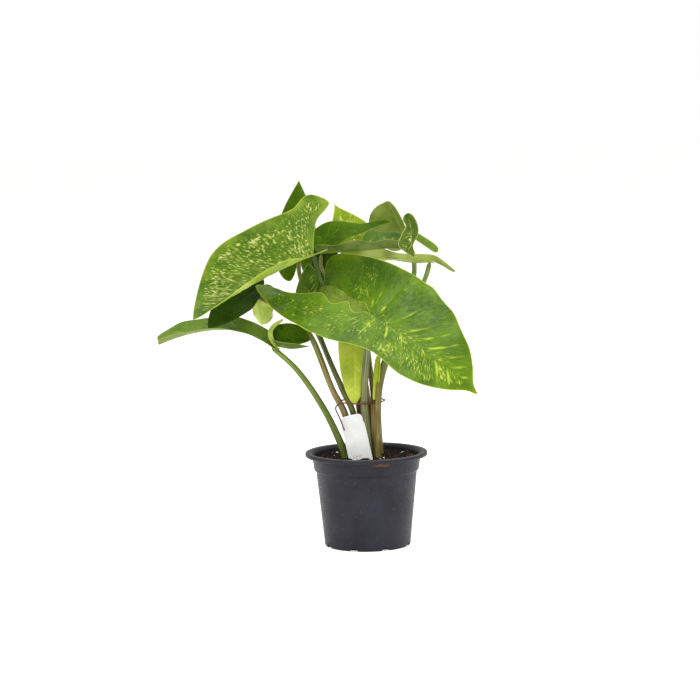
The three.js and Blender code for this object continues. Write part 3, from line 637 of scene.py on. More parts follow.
def bladeEdges(leaf, side, along):
    # inner and outer edge of one side at stations along the midrib
    length, taper = bladeLength(leaf), leaf["taper"]
    base = 0.75
    widest = (1 - base * taper) / (1 + taper)
    greatest = (widest + base) * (1 - widest) ** taper
    share = np.maximum(along / length, 0)
    front = (share + base) * (1 - share) ** taper / greatest
    halfWidth = leaf["halfWidth"][side] * (1 + swells(leaf["margin"], side, along / length))
    back = np.clip(-along / leaf["lobe"][side], 0, 1)
    end = leaf["lobeEnd"][side] * halfWidth
    rounded = np.sqrt(1 - back**2)
    lobeOuter = end + (halfWidth * front - end) * np.sqrt(1 - back ** leaf["corner"][side])
    lobeInner = end * ((1 - leaf["sinus"][side]) * (1 - rounded) + leaf["sinus"][side] * back)
    lobeInner = lobeInner + swells(leaf["inner"], side, along / length) * np.minimum(back * 8, 1)
    return np.where(along < 0, lobeInner, 0), np.where(along < 0, lobeOuter, halfWidth * front)


def veinPlace(leaf, along, out):
    # number of the side vein that a point lies by, and how far along it the point is
    length, pitch = bladeLength(leaf), leaf["veinPitch"]
    bow, bowReach = sheetForm["veinBow"]
    lean = leaf["veinSweep"] * out + bow * (1 - np.exp(-out / bowReach))
    low, high = np.zeros_like(along), np.full_like(along, length)
    for _ in range(sheetForm["veinHalvings"]):
        middle = (low + high) / 2
        share = np.clip(middle / (sheetForm["veinGather"] * length), 0, 1)
        ahead = middle + lean * share * share * (3 - 2 * share) < along
        low, high = np.where(ahead, middle, low), np.where(ahead, high, middle)
    fan = np.degrees(np.arctan2(-along, np.maximum(out, 1e-3))) / sheetForm["lobeVeinAngle"]
    number = np.where(along > 0, low / pitch, -np.maximum(fan, 0))
    return number + 0.5, np.where(along > 0, out, np.hypot(along, out))


def veinDistance(leaf, along, out):
    step = 0.2
    number, _ = veinPlace(leaf, along, out)
    ahead, _ = veinPlace(leaf, along + step, out)
    aside, _ = veinPlace(leaf, along, out + step)
    slope = np.hypot(ahead - number, aside - number) / step
    return np.minimum(np.abs(number - np.round(number)) / np.maximum(slope, 1e-4), sheetForm["farthest"])


def bladeGrid(leaf):
    # vertices as (side, along, out, distance from the edge), the sheet's faces, and each face's side
    cell, length = sheetForm["cell"], bladeLength(leaf)
    frontRows = max(round(length / cell), 12)
    columns = max(round(max(leaf["halfWidth"]) / cell), 8)
    spacing = (np.arange(columns + 1) / columns) ** sheetForm["crowding"]
    midrib = [(0, length * i / frontRows, 0, sheetForm["farthest"]) for i in range(frontRows)]
    vertices = [np.array([(0, length, 0, 0), *midrib], float)]
    count = frontRows + 1
    faces, faceSides = [], []
    for side in (0, 1):
        lobeRows = max(round(leaf["lobe"][side] / cell), 4)
        turn = np.sin(np.linspace(-math.pi / 2, 0, lobeRows + 1))[:-1]
        along = np.concatenate([leaf["lobe"][side] * turn, length * np.arange(frontRows) / frontRows])
        inner, outer = bladeEdges(leaf, side, along)
        slope = np.hypot(1, np.gradient(outer, along))
        innerSlope = np.hypot(1, np.gradient(inner, along))
        index = np.zeros((len(along) + 1, columns + 1), int)  # the last row is the tip, vertex 0
        for i, station in enumerate(along):
            out = inner[i] + (outer[i] - inner[i]) * spacing
            edge = (outer[i] - out) / slope[i]
            if station < 0 and leaf["lobeEnd"][side] > 0.05:
                edge = np.minimum(edge, (out - inner[i]) / innerSlope[i])
            first = 1 if station >= 0 else 0
            last = 1 if i == 0 else columns + 1
            index[i] = count - first + np.arange(columns + 1)
            if station >= 0:
                index[i, 0] = 1 + i - lobeRows
            if i == 0:
                index[i] = count
            row = np.stack([np.full_like(out, side), np.full_like(out, station), out, edge], 1)
            vertices.append(row[first:last])
            count += last - first
        for near, far in zip(index, index[1:]):
            for a, b, c, d in zip(near, near[1:], far[1:], far):
                face = list(dict.fromkeys((a, b, c, d) if side == 1 else (d, c, b, a)))
                if len(face) > 2:
                    faces.append(face)
                    faceSides.append(side)
    return np.concatenate(vertices), faces, np.array(faceSides)


def vertexNormals(points, faces):
    corners = np.array([f if len(f) == 4 else [*f, f[2]] for f in faces])
    across = points[corners[:, 2]] - points[corners[:, 0]]
    other = points[corners[:, 3]] - points[corners[:, 1]]
    normal = np.cross(across, other)
    total = np.zeros_like(points)
    for k in range(4):
        np.add.at(total, corners[:, k], normal)
    return unit(total)


def patches(entries, side, along, out):
    # sum of round soft patches, each (side, along, out, span, height)
    return sum((height * bell(np.hypot(along - far, out - wide), span) * (side == of)
                for of, far, wide, span, height in entries), np.zeros_like(along))


def rimEdges(faces):
    # the edges that only one face has, as that face runs along them
    edges = {}
    for face in faces:
        for a, b in zip(face, face[1:] + face[:1]):
            edges[(a, b)] = (b, a) not in edges
            if (b, a) in edges:
                edges[(b, a)] = False
    return [edge for edge, alone in edges.items() if alone]


def bladeSheet(leaf):
    # a closed blade: points, faces, each face's finish, the values its finish reads, and the place
    # of each face's corners among the veins
    form = sheetForm
    grid, faces, faceSides = bladeGrid(leaf)
    side, along, out, edge = grid.T
    count = len(grid)
    points = np.zeros((count, 3))
    for s in (0, 1):
        chosen = side == s
        points[chosen] = bladePoint(leaf, s, along[chosen], out[chosen])
    normals = vertexNormals(points, faces)
    number, reach = veinPlace(leaf, along, out)
    vein = veinDistance(leaf, along, out)
    fromMidrib = np.where(along >= 0, out, np.hypot(along, out))
    toTip = 1 - np.clip(along / bladeLength(leaf), 0, 1)
    inside = 1 - bell(edge, form["edgeFade"])
    veinShare = inside * bell(reach, form["veinFade"]) * (1 - np.exp(-(reach / form["veinStart"])))
    veinLine = bell(vein, form["veinWidth"]) * veinShare
    leastWidth, leastHeight = form["midribTip"]
    midribWidth = form["midribWidth"] * (leastWidth + (1 - leastWidth) * toTip)
    midribHeight = (leastHeight + (1 - leastHeight) * toTip) * (1 - np.exp(-edge / form["midribEnd"]))
    midrib = bell(fromMidrib, midribWidth) * midribHeight
    awayFromVeins = (1 - bell(vein, form["quiltRise"])) * (1 - bell(fromMidrib, form["midribFade"]))
    slow = np.sin(along * 0.11 + side * 2.1 + leaf["halfWidth"][0]) * np.sin(out * 0.16 + 1.3)
    slow = slow + 0.5 * np.sin(along * 0.31 + out * 0.12 + side)
    outward = np.clip(out / max(leaf["halfWidth"]), 0, 1)
    shift = leaf["quilt"] * awayFromVeins * inside + leaf["ripple"] * slow * outward
    thinning = (form["thickness"] - form["rimThickness"]) * np.exp(-edge / form["rimFade"])
    half = (form["thickness"] - thinning) / 2
    top = shift + half - form["midribGroove"] * midrib - form["veinGroove"] * veinLine
    bottom = shift - half - form["midribRib"] * midrib - form["veinRib"] * veinLine
    both = np.concatenate([points + normals * top[:, None], points + normals * bottom[:, None]])
    under = [[i + count for i in reversed(f)] for f in faces]
    rim = [[b, a, a + count, b + count] for a, b in rimEdges(faces)]
    allFaces = faces + under + rim
    finish = [0] * len(faces) + [1] * len(faces) + [0] * len(rim)
    sides = np.concatenate([faceSides, faceSides, np.zeros(len(rim))])
    corners = np.concatenate([np.array(f) for f in allFaces]) % count
    sideOf = np.repeat(sides, [len(f) for f in allFaces])
    across = number[corners] * leaf["veinPitch"] / 10 + sideOf * form["sideShift"]
    veinUv = np.stack([across, reach[corners] / 10], 1)  # centimetres over and along the veins
    calm = np.where(side == 0, *leaf["calm"]) * (1 - bell(out, form["calmFade"]))
    values = {
        "edgeDistance": edge,
        "veinDistance": np.minimum(vein + 3 * (1 - veinShare), form["farthest"]),
        "midribDistance": fromMidrib + 2 * (1 - toTip),
        "crowd": patches(leaf["crowd"], side, along, out) - calm,
        # dim: where painted shade darkens the upper face
        "dim": patches(leaf["dim"], side, along, out)}
    return both, allFaces, finish, {name: np.tile(v, 2) for name, v in values.items()}, veinUv


def sheetPiece(label, parts):
    # one piece made of blades, each with its own finish
    points, faces, finish, uvs, materials, values = [], [], [], [], [], {}
    count = 0
    for part in parts:
        sheetPoints, sheetFaces, sheetFinish, sheetValues, sheetUv = bladeSheet(part)
        points.append(sheetPoints)
        faces += [[int(i) + count for i in f] for f in sheetFaces]
        finish += [f + len(materials) for f in sheetFinish]
        materials += leafMaterials[part["finish"]]
        uvs.append(sheetUv)
        count += len(sheetPoints)
        for name, numbers in sheetValues.items():
            values.setdefault(name, []).append(numbers)
    piece = newPiece(label, np.concatenate(points), faces, materials, finish)
    addUv(piece, "veins", np.concatenate(uvs))
    for name, numbers in values.items():
        addAttribute(piece, name, np.concatenate(numbers))
    return piece


def makeLeaf(name, leaf):
    # a blade and its turned lobes make one piece
    lobes = [{**plainBlade, "veinPitch": leaf["veinPitch"], **lobe} for lobe in turnedLobes.values()
             if lobe["of"] == name]
    piece = sheetPiece("leaf" + name.title().replace("_", ""), (leaf, *lobes))
    finishPiece(piece, leaf["slot"], "blade_" + name)


for name, shape in blades.items():
    makeLeaf(name, {**plainBlade, **shape})
print("leaves ready")


# Each stalk rises from the soil through the places in `by` to the joint of its blade. Its radius is
# given at the foot and at the end.
stems = {
    "stem_left": {
        "slot": "stalk_green", "finish": "green", "stalks": {
            "left_low": {"radius": (3.6, 2.0), "by": [
                (-15, -5, 45), (-17.5, -6, 75), (-26.5, -10, 101), (-39, -13, 126), (-58.5, -15, 155)]}}},
    "stem_middle": {
        "slot": "stalk_olive", "finish": "olive", "stalks": {
            "left_dark": {"radius": (3.0, 1.7), "by": [
                (-9, -2, 45), (-11, -3, 75), (-18, -6, 114), (-28, -8, 135.5), (-47, -6, 184), (-61, -4, 204),
                (-73, 14, 211)]},
            "left_pale": {"radius": (2.4, 1.4), "by": [
                (-8, 1, 45), (-10, 1, 75), (-17, -2, 114), (-27.5, -4, 135.5), (-46.5, -5, 184),
                (-65, -6, 203)]},
            "top_middle": {"radius": (3.0, 1.6), "finish": "dull", "by": [
                (-4, 0, 45), (-5, 0, 75), (-11, -3, 115.5), (-19.6, -3, 135), (-38, 10, 180), (-44, 28, 205),
                (-43, 42, 232)]},
            "middle_dark": {"radius": (2.6, 1.5), "by": [
                (-4, 3, 45), (-5, 3, 75), (-10.5, 1, 115.5), (-19, 1.5, 135), (-38, 14, 176)]}}},
    "stem_right": {
        "slot": "stalk_olive", "finish": "olive", "sheath": {
            "radius": (5.4, 5.2), "by": [(7, -1, 45), (7, -1, 85), (7, -1.2, 124)]}, "stalks": {
            "front_broad": {"radius": (4.2, 2.4), "finish": "grey", "by": [
                (4, -7, 45), (2, -8, 75), (0, -8, 105), (-1, -10, 127), (1.7, -18, 169)]},
            "new": {"radius": (2.6, 1.6), "by": [
                (2.2, 0, 45), (1.6, 1, 75), (-3, 0, 125), (-6, 1, 165)]},
            "left_broad": {"radius": (3.8, 1.8), "finish": "dim", "by": [
                (2.5, 4.5, 45), (0.5, 5, 75), (-5.5, 5.5, 122), (-8, 5.5, 143), (-11, 5, 179), (-19, 4, 198),
                (-34, 6, 222)]},
            "right_waved": {"radius": (3.2, 1.5), "by": [
                (7.5, 3, 45), (6.3, 4, 75), (2, 8, 125), (-4, 10, 165), (-14, 14, 196), (-30.5, 22, 227),
                (-36, 20, 239.5)]},
            "back_upright": {"radius": (3.0, 1.8), "by": [
                (2, 8, 45), (1, 9, 75), (-3, 12, 125), (-9, 18, 160), (-27, 44, 184), (-48, 73, 207),
                (-56, 80, 228)]}}},
    "stem_back": {
        "slot": "stalk_brown", "finish": "brown", "stalks": {
            "back_right": {"radius": (2.9, 1.9), "by": [
                (10.8, -9.4, 45), (10.2, -9.7, 75), (10.5, -12.4, 124), (13, -5, 145), (20, 12, 165),
                (34, 36, 190), (45, 60, 236)]},
            "right_pale": {"radius": (3.0, 1.8), "by": [
                (12, 11, 45), (12, 11, 74), (11.5, 11, 125), (19, 13, 157), (38, 22, 195), (54, 27, 228)]},
            "top_bright": {"radius": (2.8, 1.6), "by": [
                (8.5, 14, 45), (8.5, 14, 74), (7, 15, 125), (3, 26, 165), (-1, 52, 205), (-5, 75, 235)]}}},
}

# Two tones of the fibres at the foot, the blotches, and the two tones towards the leaf.
stalkFinishes = {
    "green": {
        "deep": "3e540e", "light": "6c843a", "blotch": "6a6630", "topDeep": "4a6414", "topLight": "7c9440"},
    "dull": {
        "deep": "4a5220", "light": "7c8250", "blotch": "5e5430", "topDeep": "384a18", "topLight": "687c44"},
    "grey": {
        "deep": "565e30", "light": "8a8e62", "blotch": "6a5c3c", "topDeep": "4c5a3c", "topLight": "8c9880"},
    "dim": {
        "deep": "54461c", "light": "7e703a", "blotch": "4e3c1e", "topDeep": "30440c", "topLight": "586c34"},
    "olive": {
        "deep": "665822", "light": "a09260", "blotch": "5e4426", "topDeep": "525a20", "topLight": "868a4a"},
    "brown": {
        "deep": "5a501c", "light": "988c52", "blotch": "44301a", "topDeep": "4a6420", "topLight": "7c9444"},
}


def stalkMaterial(name, finish):
    material, tree, surface = newMaterial(name + "Stalk", **{
        "Roughness": 0.45, "Specular IOR Level": 0.2, "Subsurface Weight": 0.1, "Subsurface Scale": 0.002})
    around, reach = attribute(tree, "around", "Vector"), attribute(tree, "reach")
    streak = useGroup(tree, fibres, {"Around": around, "Reach": reach, "Fine": 3.0})
    foot = mixColour(tree, streak["Streak"], finish["deep"], finish["light"])
    foot = mixColour(tree, times(tree, streak["Blotch"], 0.45), foot, finish["blotch"])
    top = mixColour(tree, streak["Streak"], finish["topDeep"], finish["topLight"])
    base = mixColour(tree, smoothStep(tree, reach, 0.09, 0.15), foot, top)
    tree.links.new(base, surface["Base Color"])
    tree.links.new(smoothStep(tree, streak["Streak"], 0.0, 1.0, 0.5, 0.36), surface["Roughness"])
    addBump(tree, surface, streak["Streak"], 0.4)
    return material


def pathTree():
    # a round body along a curve, with a groove down one side, swollen foot and rounded end
    tree, given, out = newGroup("bodyAlongPath", "GeometryNodeTree", {
        "Geometry": "Geometry", "Foot Radius": "Float", "End Radius": "Float", "Flare": ("Float", 0.15),
        "Groove": ("Float", 0.12), "Step": ("Float", 0.0012), "Sides": ("Int", 20), "Finish": "Material"},
        {"Geometry": "Geometry"})
    resampled = put(tree, "GeometryNodeResampleCurve", {
        "Curve": given["Geometry"], "Length": given["Step"]}, mode="LENGTH").outputs[0]
    spline = put(tree, "GeometryNodeSplineParameter").outputs
    factor = spline["Factor"]
    curve = store(tree, resampled, "reach", spline["Length"])
    change = minus(tree, given["End Radius"], given["Foot Radius"])
    along = plus(tree, given["Foot Radius"], times(tree, factor, change))
    foot = calc(tree, "POWER", minus(tree, 1.0, factor), 5.0)
    end = calc(tree, "POWER", factor, 14.0)
    swell = plus(tree, 1.0, times(tree, given["Flare"], plus(tree, foot, end)))
    closing = smoothStep(tree, factor, 0.975, 1.0, 0.0, 0.97)
    close = calc(tree, "SQRT", minus(tree, 1.0, calc(tree, "POWER", closing, 2.0)))
    radius = times(tree, times(tree, along, swell), close)
    ring = put(tree, "GeometryNodeCurvePrimitiveCircle", {
        "Resolution": given["Sides"], "Radius": 1.0}).outputs[0]
    place = put(tree, "GeometryNodeInputPosition").outputs[0]
    marked = store(tree, ring, "around", place, "FLOAT_VECTOR")
    parts = put(tree, "ShaderNodeSeparateXYZ", {0: place}).outputs
    turn = calc(tree, "ARCTAN2", parts["Y"], parts["X"])
    away = calc(tree, "POWER", calc(tree, "ABSOLUTE", calc(tree, "DIVIDE", turn, 0.5)), 2.0)
    dip = calc(tree, "EXPONENT", times(tree, away, -1.0))
    ridges = times(tree, calc(tree, "SINE", times(tree, turn, 7.0)), 0.012)
    depth = minus(tree, plus(tree, 1.0, ridges), times(tree, dip, given["Groove"]))
    section = put(tree, "GeometryNodeSetPosition", {
        "Geometry": marked, "Position": scaled(tree, place, depth)}).outputs[0]
    body = put(tree, "GeometryNodeCurveToMesh", {
        "Curve": curve, "Profile Curve": section, "Scale": radius, "Fill Caps": True}).outputs[0]
    smooth = put(tree, "GeometryNodeSetShadeSmooth", {"Geometry": body}).outputs[0]
    finishTree(tree, smooth, given, out)
    return tree


bodyAlongPath = pathTree()


def pathBody(name, points, radii, finish, **settings):
    # radii at the foot and at the end in millimetres; settings go by the names of the tree's inputs
    curve, _ = polyCurve(name, smoothPath(points), "3D")
    piece = addObject(name, curve)
    addModifierTree(piece, bodyAlongPath, {
        "Foot Radius": radii[0] * mm, "End Radius": radii[1] * mm, "Finish": finish, **settings})
    return settle(piece, name)


def underJoint(leaf, radius):
    # where a stalk ends: its round end just meets the midrib from below
    zero, one = np.array([0.0]), np.array([1.0])
    joint = bladePoint(leaf, 0, zero, zero)[0]
    ahead = bladePoint(leaf, 0, one, zero)[0] - joint
    aside = bladePoint({**leaf, "fold": (0, 0), "curl": (0, 0)}, 1, zero, one)[0] - joint
    face = unit(np.cross(aside, ahead))
    return joint - face * (sheetForm["thickness"] / 2 + 0.5 * radius)


stalkMaterials = {name: stalkMaterial(name, finish) for name, finish in stalkFinishes.items()}
for stemName, stem in stems.items():
    stalks = []
    for leafName, stalk in stem["stalks"].items():
        end = underJoint({**plainBlade, **blades[leafName]}, stalk["radius"][1])
        finish = stalkMaterials[stalk.get("finish", stem["finish"])]
        stalks.append(pathBody(leafName, [*stalk["by"], end], stalk["radius"], finish))
    if "sheath" in stem:
        sheath, finish = stem["sheath"], stalkMaterials[stem["finish"]]
        stalks.append(pathBody(
            "sheath", sheath["by"], sheath["radius"], finish, Flare=0.0, Groove=0.2, Sides=36))
    if stemName in wings:
        stalks.append(sheetPiece("wing", [{**plainBlade, **wings[stemName]}]))
    piece = joinPieces("stalks" + stemName.removeprefix("stem_").capitalize(), stalks)
    finishPiece(piece, stem["slot"], stemName)
print("stalks ready")


# Lengths in millimetres, angles in degrees.
pot = {
    "height": 81, "rimRadius": 52.5, "lipHeight": 3.6, "rimEdge": 0.8, "lipEdge": 0.6,
    "mouthWidth": 1.4, "mouthDepth": 2.4,  # slope from the lip down into the collar
    "collarTopRadius": 46.6, "collarBottomRadius": 45, "collarBottom": 65, "collarEdge": 0.6,
    "shoulder": 63,  # height where the inside starts to widen for the collar
    "bodyTopRadius": 43.4, "baseRadius": 36.8, "baseEdge": 0.8, "wall": 1.5, "floor": 2,
    "segments": 160, "fillet": 0.7, "sharpAngle": 35,
    "notches": 8, "notchWidth": 8, "notchHeight": 2.8, "notchDepth": 11, "notchInset": 1, "notchTurn": 25,
    "lipHighlight": (0.9, 0.2),  # how far under the top the painted highlight on the lip's edge starts, and where it is full
    "smear": (13, -46, 75.4), "smearSize": (9, 20, 1.5),  # a streak of wet bark on the collar
}


def filletProfile(profile, radius, steps=3):
    # rounds the corners of a [radius, height] profile
    rounded = [profile[0]]
    for before, corner, after in zip(profile, profile[1:], profile[2:]):
        before, corner, after = (np.array(p, float) for p in (before, corner, after))
        cut = min(radius, np.linalg.norm(before - corner) / 2.1, np.linalg.norm(after - corner) / 2.1)
        start, end = corner + unit(before - corner) * cut, corner + unit(after - corner) * cut
        for t in np.linspace(0, 1, steps + 1):
            rounded.append(start * (1 - t) ** 2 + 2 * corner * t * (1 - t) + end * t**2)
    return [*rounded, profile[-1]]


def revolve(profile, segments):
    # a closed body about Z; the profile starts and ends on the axis
    rings = [p for p in profile if p[0] > 0]
    points = [(0, 0, profile[0][1])]
    for radius, height in rings:
        for turn in 2 * math.pi * np.arange(segments) / segments:
            points.append((radius * math.cos(turn), radius * math.sin(turn), height))
    points.append((0, 0, profile[-1][1]))
    faces = []
    for j in range(segments):
        after = (j + 1) % segments
        faces.append([0, 1 + after, 1 + j])
        for i in range(len(rings) - 1):
            low, high = 1 + i * segments, 1 + (i + 1) * segments
            faces.append([low + j, low + after, high + after, high + j])
        last = 1 + (len(rings) - 1) * segments
        faces.append([last + j, last + after, len(points) - 1])
    return points, faces


def potMaterial():
    material, tree, surface = newMaterial("nurseryPlastic", **{"Roughness": 0.5, "Specular IOR Level": 0.25})
    place = objectPlace(tree)
    cloud = useGroup(tree, mottle, {"Place": place, "Scale": 40.0})
    base = mixColour(tree, cloud["Cloud"], "14141d", "20202a")
    dust = smoothStep(tree, noise(tree, place, 210.0, 5.0, 0.65), 0.58, 0.78)
    base = mixColour(tree, times(tree, dust, 0.4), base, "4c4d58")
    # painted highlight: the top edge of the lip turns a lighter brownish grey, as where it catches the light
    highlightFrom, highlightTo = ((pot["height"] - drop) * mm for drop in pot["lipHighlight"])
    lipGlint = smoothStep(tree, heightOf(tree, place), highlightFrom, highlightTo, 0.0, 0.45)
    base = mixColour(tree, lipGlint, base, "5c5850")
    aside = vectorCalc(tree, "SUBTRACT", place, tuple(v * mm for v in pot["smear"]))
    aside = vectorCalc(tree, "DIVIDE", aside, tuple(v * mm for v in pot["smearSize"]))
    reach = put(tree, "ShaderNodeVectorMath", {0: aside}, operation="LENGTH").outputs["Value"]
    patchy = smoothStep(tree, noise(tree, place, 700.0, 4.0, 0.6), 0.42, 0.58)
    smear = times(tree, smoothStep(tree, reach, 0.4, 1.2, 0.9, 0.0), patchy)
    base = mixColour(tree, smear, base, "7a4426")
    tree.links.new(base, surface["Base Color"])
    tree.links.new(smoothStep(tree, cloud["Grain"], 0.3, 0.7, 0.36, 0.54), surface["Roughness"])
    addBump(tree, surface, cloud["Grain"], 0.2)
    return material


def notchTree():
    # cuts one arch through the base's edge at every step round the pot
    tree, given, out = newGroup("baseNotches", "GeometryNodeTree", {
        "Geometry": "Geometry", "Count": ("Int", 8), "Radius": "Float", "Width": "Float", "Height": "Float",
        "Depth": "Float", "Turn": "Float", "Finish": "Material"}, {"Geometry": "Geometry"})
    ring = put(tree, "GeometryNodeCurvePrimitiveCircle", {
        "Resolution": given["Count"], "Radius": given["Radius"]}).outputs[0]
    seats = put(tree, "GeometryNodeCurveToPoints", {"Curve": ring}, mode="EVALUATED").outputs[0]
    arch = put(tree, "GeometryNodeMeshCylinder", {
        "Vertices": 32, "Radius": 0.5, "Depth": given["Depth"]}, fill_type="NGON").outputs[0]
    size = vectorOf(tree, given["Width"], times(tree, given["Height"], 2.0), 1.0)
    sized = put(tree, "GeometryNodeTransform", {"Geometry": arch, "Scale": size}).outputs[0]
    laid = put(tree, "GeometryNodeTransform", {
        "Geometry": sized, "Rotation": (math.pi / 2, 0.0, 0.0)}).outputs[0]
    index = put(tree, "GeometryNodeInputIndex").outputs[0]
    step = calc(tree, "DIVIDE", 2 * math.pi, given["Count"])
    facing = vectorOf(tree, z=plus(tree, times(tree, index, step), math.pi / 2))
    cutters = put(tree, "GeometryNodeInstanceOnPoints", {
        "Points": seats, "Instance": laid, "Rotation": facing}).outputs[0]
    cutters = put(tree, "GeometryNodeRealizeInstances", {"Geometry": cutters}).outputs[0]
    turned = put(tree, "GeometryNodeTransform", {
        "Geometry": cutters, "Rotation": vectorOf(tree, z=given["Turn"])}).outputs[0]
    cut = put(tree, "GeometryNodeMeshBoolean", {0: given["Geometry"], 1: turned},
              operation="DIFFERENCE", solver="EXACT").outputs[0]
    finishTree(tree, cut, given, out)
    return tree


def potInner(height):
    slope = (pot["bodyTopRadius"] - pot["baseRadius"]) / pot["collarBottom"]
    return pot["baseRadius"] + slope * height - pot["wall"]


def makePot():
    top, rim, edge = pot["height"], pot["rimRadius"], pot["rimEdge"]
    lip, collar, wall = top - pot["lipHeight"], pot["collarBottom"], pot["wall"]
    base, upper, lower = pot["baseRadius"], pot["collarTopRadius"], pot["collarBottomRadius"]
    profile = [
        (0, 0), (base - pot["baseEdge"], 0), (base, pot["baseEdge"]), (pot["bodyTopRadius"], collar),
        (lower, collar + pot["collarEdge"]), (upper, lip), (rim - pot["lipEdge"], lip), (rim, lip + edge),
        (rim, top - edge), (rim - edge, top), (upper + pot["mouthWidth"], top),
        (upper - wall, top - pot["mouthDepth"]), (lower - wall, collar + wall),
        (potInner(pot["shoulder"]), pot["shoulder"]), (potInner(pot["floor"]), pot["floor"]),
        (0, pot["floor"])]
    material = potMaterial()
    points, faces = revolve(filletProfile(profile, pot["fillet"]), pot["segments"])
    shell = newPiece("potShell", points, faces, [material])
    addModifierTree(shell, notchTree(), {
        "Count": pot["notches"], "Radius": (base - pot["notchInset"]) * mm, "Width": pot["notchWidth"] * mm,
        "Height": pot["notchHeight"] * mm, "Depth": pot["notchDepth"] * mm,
        "Turn": math.radians(pot["notchTurn"] - 90), "Finish": material})
    piece = settle(shell, "nurseryPot")
    piece.data.set_sharp_from_angle(angle=math.radians(pot["sharpAngle"]))
    finishPiece(piece, "black_plastic", "pot")


makePot()
print("pot ready")


soil = {
    "level": 76.2, "gap": 0.3, "lump": 1.1, "rings": 60, "segments": 160,
    "topBand": 4,  # all that reaches within this of the level is the soil's top
    "strewn": {  # count, smallest and largest radius, and seed
        "pottingSoil": (1400, 0.35, 1.3, 3),
        "looseCrumbs": (800, 0.35, 1.3, 5),
        "perliteGrains": (26, 0.8, 1.5, 11)},
}


def soilTop(x, y):
    broad = np.sin(x * 0.37 + y * 0.21) * np.cos(y * 0.33 - x * 0.11)
    fine = 0.4 * np.sin(x * 0.9 + y * 1.3)
    crumble = 0.25 * np.sin(x * 2.3 + 1.7 * np.sin(y * 1.9)) * np.cos(y * 2.1 + np.sin(x * 1.3))
    return soil["level"] + soil["lump"] * (broad + fine) + crumble


def soilMaterial():
    material, tree, surface = newMaterial("pottingMix", **{"Roughness": 0.95, "Specular IOR Level": 0.25})
    grain = noise(tree, objectPlace(tree), 700.0, 4.0, 0.7)
    base = mixColour(tree, smoothStep(tree, grain, 0.35, 0.7), "15110f", "2e231d")
    red = smoothStep(tree, attribute(tree, "crumbShade"), 0.78, 0.98)
    base = mixColour(tree, times(tree, red, 0.8), base, "6a3a20")
    tree.links.new(base, surface["Base Color"])
    addBump(tree, surface, grain, 0.8, 0.0008)
    return material


def perliteMaterial():
    material, tree, surface = newMaterial("perlite", **{"Roughness": 0.9})
    pores = noise(tree, objectPlace(tree), 1500.0, 3.0, 0.6)
    base = mixColour(tree, smoothStep(tree, pores, 0.3, 0.6), "b9b2a4", "f1eee6")
    tree.links.new(base, surface["Base Color"])
    addBump(tree, surface, pores, 0.6)
    return material


def crumbTree():
    # lumps strewn over the top of a surface, each turned and stretched its own way
    tree, given, out = newGroup("strewnCrumbs", "GeometryNodeTree", {
        "Geometry": "Geometry", "Density": ("Float", 1e5), "Smallest": ("Float", 0.4),
        "Largest": ("Float", 1.6), "Above": "Float", "Seed": ("Int", 1), "Keep Surface": "Bool",
        "Finish": "Material"}, {"Geometry": "Geometry"})
    place = put(tree, "GeometryNodeInputPosition").outputs[0]
    facing = heightOf(tree, put(tree, "GeometryNodeInputNormal").outputs[0])
    upper = put(tree, "FunctionNodeBooleanMath", {
        0: calc(tree, "GREATER_THAN", heightOf(tree, place), given["Above"]),
        1: calc(tree, "GREATER_THAN", facing, 0.5)}, operation="AND").outputs[0]
    seats = put(tree, "GeometryNodeDistributePointsOnFaces", {
        "Mesh": given["Geometry"], "Selection": upper, "Density": given["Density"], "Seed": given["Seed"]})
    ball = put(tree, "GeometryNodeMeshIcoSphere", {"Radius": mm, "Subdivisions": 2}).outputs[0]
    rough = minus(tree, noise(tree, place, 900.0, 1.0), 0.5)
    dent = scaled(tree, place, times(tree, rough, 1.3))
    lump = put(tree, "GeometryNodeSetPosition", {"Geometry": ball, "Offset": dent}).outputs[0]

    def draw(low, high, offset, kind="FLOAT_VECTOR"):
        node = put(tree, "FunctionNodeRandomValue", data_type=kind)
        ends = [s for s in node.inputs if s.enabled and s.name in ("Min", "Max")]
        for socket, limit in zip(ends, (low, high)):
            if isinstance(limit, bpy.types.NodeSocket):
                tree.links.new(limit, socket)
            else:
                socket.default_value = limit
        tree.links.new(plus(tree, given["Seed"], offset), node.inputs["Seed"])
        return next(s for s in node.outputs if s.enabled)

    turn = draw((0.0, 0.0, 0.0), (6.28, 6.28, 6.28), 1.0)
    stretch = draw((0.6, 0.5, 0.35), (1.5, 1.1, 0.8), 2.0)
    size = draw(given["Smallest"], given["Largest"], 3.0, "FLOAT")
    placed = put(tree, "GeometryNodeInstanceOnPoints", {
        "Points": seats.outputs["Points"], "Instance": lump, "Rotation": turn,
        "Scale": scaled(tree, stretch, size)}).outputs[0]
    shaded = store(tree, placed, "crumbShade", draw(0.0, 1.0, 4.0, "FLOAT"), domain="INSTANCE")
    kept = put(tree, "GeometryNodeSwitch", {
        "Switch": given["Keep Surface"], "True": given["Geometry"]}, input_type="GEOMETRY").outputs[0]
    both = tree.nodes.new("GeometryNodeJoinGeometry")
    tree.links.new(kept, both.inputs[0])
    tree.links.new(shaded, both.inputs[0])
    finishTree(tree, both.outputs[0], given, out)
    return tree


